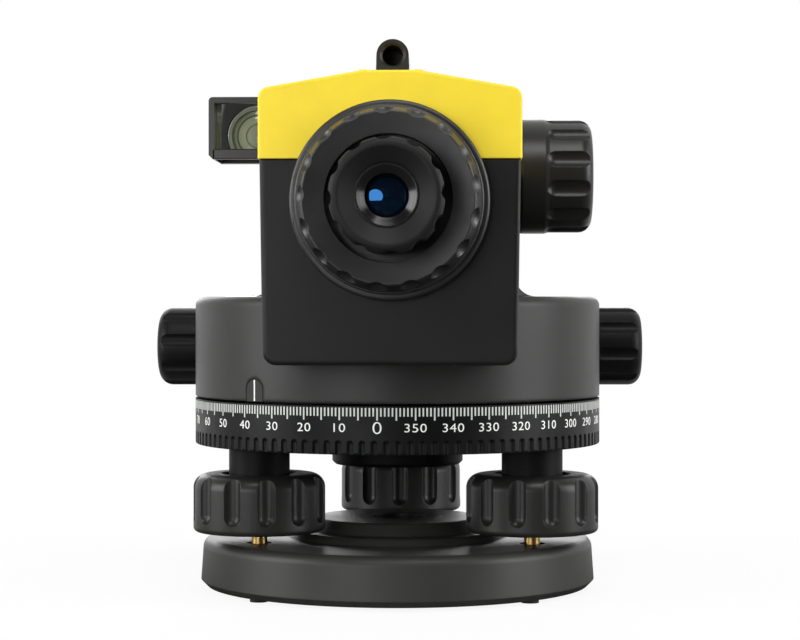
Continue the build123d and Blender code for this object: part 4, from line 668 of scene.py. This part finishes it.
EYE_MOUTH = Turned("polished_round_sight_line", colour=(0.008, 0.008, 0.008), stained=(0.011, 0.011, 0.010),
                   metallic=0.0, roughness=0.15, around=Around.ALONG, centre=SIGHT_LINE, pitch=0.3 * MM,
                   depth=0.001 * MM)
ANODISED_RING = Turned("anodised_round_axis", colour=(0.0042, 0.0046, 0.0049),
                       stained=(0.006, 0.006, 0.006), metallic=0.0, roughness=0.34, specular=0.2,
                       pitch=0.3 * MM, depth=0.002 * MM)
BRASS = Turned("turned_brass", colour=BRASS_COLOUR, stained=BRASS_STAIN, roughness=0.24)
BRASS_EYE = Turned("turned_brass_sight_line", colour=BRASS_COLOUR, stained=BRASS_STAIN, around=Around.ALONG,
                   centre=SIGHT_LINE)
BRASS_CROSS = Turned("turned_brass_cross", colour=BRASS_COLOUR, stained=BRASS_STAIN, around=Around.ACROSS)
STEEL = Turned("turned_steel", colour=STEEL_COLOUR, stained=STEEL_STAIN)
STEEL_CROSS = Turned("turned_steel_cross", colour=STEEL_COLOUR, stained=STEEL_STAIN, around=Around.ACROSS)
NICKEL = Turned("dull_nickel", colour=(0.36, 0.37, 0.31), stained=(0.26, 0.27, 0.22), roughness=0.30,
                centre=tuple(middle_of("level_vial")))
BLACK_SCREW = Turned("blacked_screw", colour=(0.03, 0.03, 0.032), stained=(0.05, 0.045, 0.04),
                     roughness=0.30)
ALUMINIUM = Milled("milled_aluminium")
SPRING_STEEL = Milled("rolled_spring_steel", colour=(0.5, 0.5, 0.5), roughness=0.28)
EYE_GLASS = Optic("blue_coated_glass", tint=(0.08, 0.38, 1.0), depth=(0.002, 0.004, 0.008), index=1.75)
FRONT_GLASS = Optic("violet_coated_glass", tint=(0.36, 0.36, 0.72), depth=(0.004, 0.004, 0.007))
PRISM_GLASS = Optic("prism_glass", tint=(0.9, 0.95, 1.0), clear=0.8, depth=(0.8, 0.85, 0.85))
MIRROR = Silvering("silvered_mirror")
WHITE_PRINT = Print("white_print")
TICK_PRINT = Print("tick_print", colour=(0.62, 0.64, 0.62), worn=(0.44, 0.45, 0.44))
DARK_PRINT = Print("dark_print", colour=(0.05, 0.055, 0.03), worn=(0.08, 0.085, 0.05))
BUBBLE_RIM = Print("bubble_outline", colour=(0.13, 0.145, 0.085), worn=(0.16, 0.18, 0.10))


def dress(nodes: dict[str, Finish]) -> None:
    """Gives CAD nodes their finishes.

    Args:
        nodes: The finish of each node.
    """
    for name, finish in nodes.items():
        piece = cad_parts[name]
        material = finish.material()
        if not piece.material_slots:
            piece.data.materials.append(material)
        for slot in piece.material_slots:
            slot.material = material
        log.info("%s: %s", name, finish.name)


def start_clean() -> None:
    """Leaves edit mode and selects nothing."""
    if bpy.context.mode != "OBJECT":
        bpy.ops.object.mode_set(mode="OBJECT")
    bpy.ops.object.select_all(action="DESELECT")


def only(piece: bpy.types.Object) -> bpy.types.Object:
    """Makes a piece the only one selected and active.

    Args:
        piece: The piece.

    Returns:
        The same piece.
    """
    start_clean()
    piece.select_set(True)
    bpy.context.view_layer.objects.active = piece
    return piece


@contextmanager
def editing() -> Iterator[None]:
    """Edit mode on the active piece, with all of it selected.

    Yields:
        Nothing; the piece is back in object mode afterwards.
    """
    bpy.ops.object.mode_set(mode="EDIT")
    bpy.ops.mesh.select_all(action="SELECT")
    yield
    bpy.ops.object.mode_set(mode="OBJECT")


def round_axis(radius: float, angle: float, height: float) -> Point:
    """The point at an angle, in radians, round the upright axis."""
    return (radius * math.cos(angle), radius * math.sin(angle), height)


def block(at: Iterable[float], size: Iterable[float], turn: float = 0.0) -> bpy.types.Object:
    """A block to start a piece from.

    Args:
        at: Its middle.
        size: Its size along X, Y and Z, before it is turned.
        turn: How far it is turned round the upright, in radians.

    Returns:
        The block, the only piece selected and active.
    """
    start_clean()
    bpy.ops.mesh.primitive_cube_add(size=1.0, location=at, rotation=(0, 0, turn))
    made = bpy.context.object
    made.scale = size
    bpy.ops.object.transform_apply(location=True, rotation=True, scale=True)
    return made


def apply_modifiers(piece: bpy.types.Object) -> None:
    """Applies a piece's modifiers in order.

    Args:
        piece: The piece.
    """
    only(piece)
    for modifier in list(piece.modifiers):
        bpy.ops.object.modifier_apply(modifier=modifier.name)


def joined(pieces: list[bpy.types.Object], name: str) -> bpy.types.Object:
    """Joins pieces into one.

    Args:
        pieces: The pieces.
        name: The name of the one piece.

    Returns:
        The joined piece.
    """
    only(pieces[0])
    for piece in pieces[1:]:
        piece.select_set(True)
    if len(pieces) > 1:
        bpy.ops.object.join()
    whole = bpy.context.view_layer.objects.active
    whole.name = name
    whole.data.name = name
    return whole


def settle(piece: bpy.types.Object) -> None:
    """Puts a piece's place into its mesh, with its faces outwards.

    Args:
        piece: The piece.
    """
    only(piece)
    bpy.ops.object.transform_apply(location=True, rotation=True, scale=True)
    with editing():
        bpy.ops.mesh.normals_make_consistent(inside=False)


def mount(piece: bpy.types.Object, finish: Finish, body: str) -> None:
    """Finishes a new piece and lets it ride on a body.

    Args:
        piece: The piece, in place.
        finish: Its finish.
        body: The body that carries it.
    """
    piece.data.materials.clear()
    piece.data.materials.append(finish.material())
    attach(piece, body)
    log.info("%s: %s, on %s", piece.name, finish.name, body)


class SubAssembly:
    """One group of pieces: finishes for its CAD nodes, and new pieces where it has any."""

    def dress(self) -> None:
        """Gives the CAD nodes their finishes; each group has its own."""
        raise NotImplementedError

    def build(self) -> None:
        """Models the new pieces; most groups have none."""


@dataclass
class Base(SubAssembly):
    """The base plate, with its bush, spring plate and pads."""

    def dress(self) -> None:
        """Casting, blacked bush, steel and rubber."""
        dress({
            "base_plate": BASE_CASTING,
            "tripod_bush": ANODISED_RING,
            "spring_plate": SPRING_STEEL,
            "spring_plate_screws": STEEL,
            "foot_pads": RUBBER,
        })


@dataclass
class FootScrews(SubAssembly):
    """The three foot screws and the nuts they run in."""

    sides: tuple[str, ...] = ("left", "right", "rear")

    def dress(self) -> None:
        """Brass pins under moulded knobs."""
        dress({f"foot_pin_{side}": BRASS for side in self.sides})
        dress({f"foot_knob_{side}": KNOB for side in self.sides})
        dress({"foot_nuts": BRASS})


@dataclass
class LevellingHead(SubAssembly):
    """The head with the axis bush, what holds the circle down, and the clutch of the tangent drive."""

    def dress(self) -> None:
        """Casting outside, turned metal inside."""
        dress({
            "levelling_head": HEAD_CASTING,
            "axis_bush": BRASS,
            "clutch_spring": SPRING_STEEL,
            "clutch_nut": STEEL,
            "circle_retainer": ALUMINIUM,
        })


@dataclass
class HorizontalCircle(SubAssembly):
    """The graduated ring, with its degree marks and numbers."""

    radius: float = 50.0 * MM
    proud: float = 0.03 * MM
    zero_turn: float = -93.9
    mark_width: float = 0.36 * MM
    mark_drop: float = 0.35 * MM
    mark_length: float = 1.95 * MM
    long_mark_length: float = 2.85 * MM
    number_drop: float = 4.9 * MM
    number_height: float = 1.95 * MM
    number_stretch: float = 1.22
    zero_height: float = 2.75 * MM
    number_step: int = 10
    letter_space: float = 1.08
    letter_steps: int = 4
    letter_depth: float = 0.5
    thinning: float = -0.002
    zero_thinning: float = -0.008
    marks_in_group: int = 5
    top: float = field(init=False)

    def __post_init__(self) -> None:
        """Takes the height of the ring's upper edge from the construction."""
        self.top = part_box("horizontal_circle")[1].z

    def dress(self) -> None:
        """The ring itself."""
        dress({"horizontal_circle": ANODISED_RING})

    def build(self) -> None:
        """The marks and the numbers on the ring's wall."""
        mount(self._marks(), TICK_PRINT, "circle")
        mount(self._numbers(), WHITE_PRINT, "circle")

    def _mark(self, turn: float, length: float) -> bpy.types.Object:
        """One mark: a thin bar let onto the wall.

        Args:
            turn: Its place round the axis, in degrees.
            length: Its height, down from the common top.

        Returns:
            The bar.
        """
        angle = math.radians(turn)
        middle = self.top - self.mark_drop - length / 2
        at = round_axis(self.radius, angle, middle)
        return block(at, (2 * self.proud, self.mark_width, length), angle)

    def _marks(self) -> bpy.types.Object:
        """Five marks, the first one long, copied all round the ring.

        Returns:
            All the marks, as one piece.
        """
        bars = []
        for step in range(self.marks_in_group):
            length = self.mark_length if step else self.long_mark_length
            bars.append(self._mark(self.zero_turn - step, length))
        group = joined(bars, "circle_marks")
        groups = FULL_TURN // self.marks_in_group
        with editing():
            bpy.ops.mesh.spin(steps=groups, dupli=True, angle=2 * math.pi, center=(0, 0, 0), axis=(0, 0, 1))
            bpy.ops.mesh.select_all(action="SELECT")
            bpy.ops.mesh.remove_doubles(threshold=MERGE_REACH)
        settle(group)
        return group

    def _number(self, degrees: int) -> bpy.types.Object:
        """One number, bent round the wall.

        Args:
            degrees: What it says.

        Returns:
            The number, as a mesh.
        """
        start_clean()
        bpy.ops.object.text_add()
        text = bpy.context.object
        text.data.body = str(degrees)
        text.data.align_x = "CENTER"
        text.data.align_y = "CENTER"
        text.data.resolution_u = self.letter_steps
        text.data.extrude = self.letter_depth
        text.data.offset = self.thinning if degrees else self.zero_thinning
        text.data.space_character = self.letter_space
        bpy.ops.object.convert(target="MESH")
        number = bpy.context.object
        tall = self.number_height if degrees else self.zero_height
        size = tall / number.dimensions.y
        middle = sum((Vector(corner) for corner in number.bound_box), Vector())
        middle /= len(number.bound_box)
        centre = math.radians(self.zero_turn - degrees)
        for vertex in number.data.vertices:
            across, up, out = vertex.co - middle
            angle = centre + across * size * self.number_stretch / self.radius
            reach = self.radius + out * 2 * self.proud
            height = self.top - self.number_drop + up * size
            vertex.co = round_axis(reach, angle, height)
        with editing():
            bpy.ops.mesh.remove_doubles(threshold=MERGE_REACH)
        return number

    def _numbers(self) -> bpy.types.Object:
        """A number at every tenth degree.

        Returns:
            All the numbers, as one piece.
        """
        numbers = [self._number(degrees) for degrees in range(0, FULL_TURN, self.number_step)]
        whole = joined(numbers, "circle_numbers")
        settle(whole)
        return whole


@dataclass
class Housing(SubAssembly):
    """The black casting, its cover and the index against which the circle is read."""

    drum_radius: float = 50.0 * MM
    proud: float = 0.03 * MM
    index_turn: float = 229.9
    line_width: float = 0.42 * MM
    line_foot: float = 0.15 * MM
    line_length: float = 4.9 * MM
    line_bevel: float = 0.3

    def dress(self) -> None:
        """Paint outside, turned steel on the axis."""
        dress({
            "main_housing": HOUSING,
            "top_cover": YELLOW,
            "cover_screws": BLACK_SCREW,
            "peep_sight": KNOB,
            "index_plate": CASTING,
            "floor_plate": CASTING,
            "floor_screws": STEEL,
            "spindle": STEEL,
            "spindle_screws": STEEL,
            "spindle_end_screw": STEEL,
            "thrust_washer": BRASS,
        })

    def build(self) -> None:
        """The white line on the index plate."""
        low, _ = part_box("index_plate")
        angle = math.radians(self.index_turn)
        middle = low.z + self.line_foot + self.line_length / 2
        at = round_axis(self.drum_radius, angle, middle)
        line = block(at, (2 * self.proud, self.line_width, self.line_length), angle)
        line.name = "index_line"
        with editing():
            bpy.ops.mesh.bevel(offset=self.line_bevel * self.proud, segments=1)
        settle(line)
        mount(line, WHITE_PRINT, "alidade")


@dataclass
class TangentDrive(SubAssembly):
    """The worm on its cross shaft, with a knob at each end, and the wheel."""

    def dress(self) -> None:
        """Steel, brass and moulded knobs."""
        dress({
            "worm_wheel": BRASS,
            "drive_worm": STEEL_CROSS,
            "drive_shaft": STEEL_CROSS,
            "drive_bushes": BRASS_CROSS,
            "drive_knob_left": DRIVE_KNOB,
            "drive_knob_right": DRIVE_KNOB,
        })


@dataclass
class Telescope(SubAssembly):
    """Objective, focusing and compensator."""

    def dress(self) -> None:
        """Black metal outside, glass and bare metal inside."""
        dress({
            "objective_barrel": ANODISED_EYE,
            "objective_retainer": ANODISED_EYE,
            "objective_lens": FRONT_GLASS,
            "focus_knob": KNOB,
            "focus_bush": BRASS_CROSS,
            "focus_shaft": STEEL_CROSS,
            "focus_guide": ALUMINIUM,
            "focus_cell": BRASS_EYE,
            "focus_lens": PRISM_GLASS,
            "compensator_frame": ALUMINIUM,
            "suspension_strips": SPRING_STEEL,
            "fixed_prisms": PRISM_GLASS,
            "pendulum_carrier": ALUMINIUM,
            "pendulum_prism": PRISM_GLASS,
        })


@dataclass
class Eyepiece(SubAssembly):
    """The eyepiece with its ring, and the reticle's carrier and glass."""

    def dress(self) -> None:
        """Anodised rings round a coated lens."""
        dress({
            "eyepiece_flange": ANODISED_EYE,
            "eyepiece_cover": ANODISED_EYE,
            "eyepiece_knob": EYE_KNOB,
            "eyepiece_barrel": EYE_MOUTH,
            "eye_lens": EYE_GLASS,
            "reticle_holder": BRASS_EYE,
            "reticle_glass": PRISM_GLASS,
        })


@dataclass
class BubbleLevel(SubAssembly):
    """The circular level, with its ring and bubble, and the hood and mirror above it."""

    ring_radius: float = 5.6 * MM
    ring_width: float = 0.45 * MM
    bubble_radius: float = 3.2 * MM
    bubble_line: float = 0.30 * MM
    lip_height: float = 2.5 * MM
    lip_depth: float = 1.4 * MM
    lip_inset: float = 0.8 * MM
    lip_round: float = 0.25 * MM
    lip_segments: int = 3
    ledge_reach: float = 2.6 * MM
    ledge_rise: float = 1.1 * MM
    proud: float = 0.03 * MM
    steps: int = 96
    ring_lift: float = 1 * MM

    def dress(self) -> None:
        """Vial, holder, hood and mirror."""
        low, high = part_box("level_vial")
        middle = middle_of("level_vial")
        vial = Liquid("level_liquid", centre=(middle.x, middle.y), radius=(high.x - low.x) / 2)
        dress({
            "vial_holder": NICKEL,
            "level_vial": vial,
            "bubble_hood": GLOSS,
            "bubble_mirror": MIRROR,
        })

    def build(self) -> None:
        """The printed ring and the bubble's outline, laid on the vial's dome, and the hood's lip."""
        mount(self._bars(), GLOSS, "alidade")
        ring = self._ring("level_ring", self.ring_radius, self.ring_width)
        mount(ring, DARK_PRINT, "alidade")
        outline = self._ring("level_bubble", self.bubble_radius, self.bubble_line)
        mount(outline, BUBBLE_RIM, "alidade")

    def _bars(self) -> bpy.types.Object:
        """The bar across the foot of the hood's mouth and the ledge under the mirror.

        Returns:
            Both, as one piece.
        """
        low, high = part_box("bubble_hood")
        foot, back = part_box("bubble_mirror")
        left, right = low.x + self.lip_inset, high.x - self.proud
        lip = self._bar((left, low.y, low.z), (right, low.y + self.lip_depth, low.z + self.lip_height))
        ledge_near = back.y - self.ledge_reach
        ledge = self._bar((left + self.lip_inset, ledge_near, low.z),
                          (right, ledge_near + self.lip_depth, foot.z + self.ledge_rise))
        whole = joined([lip, ledge], "hood_lip")
        settle(whole)
        return whole

    def _bar(self, low: Point, high: Point) -> bpy.types.Object:
        """One bar with rounded edges.

        Args:
            low: Its lower corner.
            high: Its upper corner.

        Returns:
            The bar.
        """
        bar = block((Vector(low) + Vector(high)) / 2, Vector(high) - Vector(low))
        with editing():
            bpy.ops.mesh.bevel(offset=self.lip_round, segments=self.lip_segments)
        return bar

    def _ring(self, name: str, radius: float, width: float) -> bpy.types.Object:
        """A flat ring laid onto the dome.

        Args:
            name: The piece's name.
            radius: The ring's middle radius.
            width: Its width.

        Returns:
            The ring.
        """
        low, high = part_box("level_vial")
        middle = (low + high) / 2
        start_clean()
        inner = radius - width / 2
        at = (middle.x, middle.y, high.z + self.ring_lift)
        bpy.ops.mesh.primitive_circle_add(vertices=self.steps, radius=inner, location=at)
        ring = bpy.context.object
        ring.name = name
        grow = (radius + width / 2) / inner
        with editing():
            bpy.ops.mesh.extrude_region_move()
            bpy.ops.transform.resize(value=(grow, grow, 1.0), center_override=at)
        laid = ring.modifiers.new("lay", "SHRINKWRAP")
        laid.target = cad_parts["level_vial"]
        laid.wrap_method = "PROJECT"
        laid.use_project_z = True
        laid.use_negative_direction = True
        laid.use_positive_direction = False
        laid.offset = self.proud
        thick = ring.modifiers.new("thickness", "SOLIDIFY")
        thick.thickness = 2 * self.proud
        thick.offset = 0.0
        apply_modifiers(ring)
        settle(ring)
        return ring


class LampShape(Enum):
    """The outline of a soft lamp."""

    SQUARE = "RECTANGLE"
    ROUND = "ELLIPSE"


@dataclass(frozen=True)
class Softbox:
    """One soft lamp that faces the object."""

    name: str
    at: Point
    size: Span
    watts: float
    shape: LampShape = LampShape.SQUARE

    def build(self, target: Vector) -> None:
        """Hangs the lamp, out of the camera's sight, and turns it to a point.

        Args:
            target: The point.
        """
        lamp = bpy.data.lights.new(self.name, "AREA")
        lamp.shape = self.shape.value
        lamp.size, lamp.size_y = self.size
        lamp.energy = self.watts
        made = bpy.data.objects.new(self.name, lamp)
        bpy.context.scene.collection.objects.link(made)
        made.location = self.at
        made.visible_camera = False
        made.rotation_euler = (target - made.location).to_track_quat("-Z", "Y").to_euler()


SOFTBOXES = (
    Softbox("left_softbox", (-0.85, -0.26, 0.26), (0.45, 0.70), 5.8),
    Softbox("right_softbox", (0.88, -0.22, 0.26), (0.45, 0.70), 6.2),
    Softbox("front_left_softbox", (-0.32, -0.76, 0.11), (0.42, 0.36), 1.7, LampShape.ROUND),
    Softbox("front_softbox", (0.10, -0.62, 0.98), (0.60, 0.36), 4.9),
    Softbox("top_softbox", (0.0, 0.12, 0.95), (0.7, 0.5), 0.5),
    Softbox("back_softbox", (-0.1, 0.9, 0.35), (0.8, 0.4), 3.2),
)


@dataclass
class Studio:
    """The floor, the lights, the pale surroundings and the camera of the photograph."""

    floor_reach: float = 3.0
    floor_colour: Colour = (0.9, 0.9, 0.9)
    floor_shade: Colour = (0.05, 0.05, 0.05)
    floor_glow: float = 0.9
    ambient: float = 0.91
    overhead_dimming: float = 0.85
    front_gleam: float = 0.03
    table_reach: float = 0.16
    floor_drop: float = 0.05 * MM
    floor_behind: Span = (-0.02, 0.35)
    sky_behind: Span = (0.0, 0.6)
    sky_overhead: Span = (0.15, 0.75)
    clip_start: float = 0.01
    aim: float = 65 * MM
    distance: float = 540 * MM
    azimuth: float = 1.4
    height: float = 70 * MM
    pixels_per_mm: float = 4.02
    axis_column: float = 397.5
    horizon_row: float = 303.0

    def build(self) -> None:
        """Everything round the object."""
        bpy.context.scene.view_settings.view_transform = "Standard"
        self._floor()
        self._world()
        for softbox in SOFTBOXES:
            softbox.build(Vector((0, 0, self.aim)))
        self._camera()

    def _floor(self) -> None:
        """A pale floor that shows its own white and still takes a shadow, flagged off in front."""
        start_clean()
        bpy.ops.mesh.primitive_plane_add(size=2 * self.floor_reach, location=(0, 0, -self.floor_drop))
        floor = bpy.context.object
        floor.name = "studio_floor"
        material = bpy.data.materials.new("studio_floor")
        graph = Graph(material)
        place = graph.node("ShaderNodeNewGeometry", output="Position")
        depth = graph.node("ShaderNodeSeparateXYZ", None, {0: place}, output="Y")
        away = graph.node("ShaderNodeVectorMath", {"operation": "LENGTH"}, {0: place}, output="Value")
        far = graph.ramp(away, self.table_reach / 2, 2 * self.table_reach)
        behind = graph.ramp(depth, *self.floor_behind)
        glossy = graph.ray("Is Glossy Ray")
        direct = graph.ray("Is Camera Ray").or_more(graph.ray("Is Transmission Ray"))
        seen = direct.or_more(glossy * behind)
        flagged = (1 - direct) * far.or_more(glossy) * (1 - behind)
        shade = graph.mix(flagged, self.floor_colour, self.floor_shade)
        matt = graph.node("ShaderNodeBsdfDiffuse", None, {"Color": shade})
        white = graph.node("ShaderNodeEmission", None, {"Color": WHITE, "Strength": 1.0})
        glow = far * (1 - self.floor_glow) + self.floor_glow
        graph.finish(graph.node("ShaderNodeMixShader", None, {0: seen * glow, 1: matt, 2: white}))
        floor.data.materials.append(material)

    def _world(self) -> None:
        """White to the eye and in reflections of what lies behind, dim in front, overhead and as a light."""
        world = bpy.data.worlds.new("studio_world")
        bpy.context.scene.world = world
        graph = Graph(world)
        towards = graph.node("ShaderNodeTexCoord", output="Generated")
        depth = graph.node("ShaderNodeSeparateXYZ", None, {0: towards}, output="Y")
        behind = graph.ramp(depth, *self.sky_behind)
        glossy = graph.ray("Is Glossy Ray")
        mirrored = glossy * (behind * (1 - self.front_gleam) + self.front_gleam)
        up = graph.node("ShaderNodeSeparateXYZ", None, {0: towards}, output="Z")
        overhead = graph.ramp(up, *self.sky_overhead) * self.overhead_dimming
        dim = (1 - glossy) * (1 - overhead) * self.ambient
        seen = graph.ray("Is Camera Ray").or_more(graph.ray("Is Transmission Ray"))
        strength = seen.or_more(mirrored + dim)
        light = graph.node("ShaderNodeBackground", None, {"Color": WHITE, "Strength": strength})
        graph.finish(light, "ShaderNodeOutputWorld")

    def _camera(self) -> None:
        """The camera, level, with its frame shifted as in the photograph."""
        lens = bpy.data.cameras.new("camera")
        camera = bpy.data.objects.new("camera", lens)
        bpy.context.scene.collection.objects.link(camera)
        turn = math.radians(self.azimuth)
        camera.location = (self.distance * math.sin(turn), -self.distance * math.cos(turn), self.height)
        camera.rotation_euler = (math.pi / 2, 0, turn)
        lens.sensor_width = SENSOR_MM
        focal_px = self.pixels_per_mm * self.distance / MM
        lens.lens = focal_px * SENSOR_MM / PHOTO_WIDTH_PX
        lens.shift_x = (PHOTO_WIDTH_PX / 2 - self.axis_column) / PHOTO_WIDTH_PX
        lens.shift_y = (self.horizon_row - PHOTO_HEIGHT_PX / 2) / PHOTO_WIDTH_PX
        lens.clip_start = self.clip_start
        bpy.context.scene.camera = camera


def main() -> None:
    """Dresses and marks every sub-assembly, then sets up the studio."""
    logging.basicConfig(level=logging.INFO, format="%(message)s")
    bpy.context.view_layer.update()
    assemblies: list[SubAssembly] = [
        Base(), FootScrews(), LevellingHead(), HorizontalCircle(), Housing(), TangentDrive(),
        Telescope(), Eyepiece(), BubbleLevel(),
    ]
    for assembly in assemblies:
        assembly.dress()
        assembly.build()
    Studio().build()


if __name__ == "__main__":
    main()
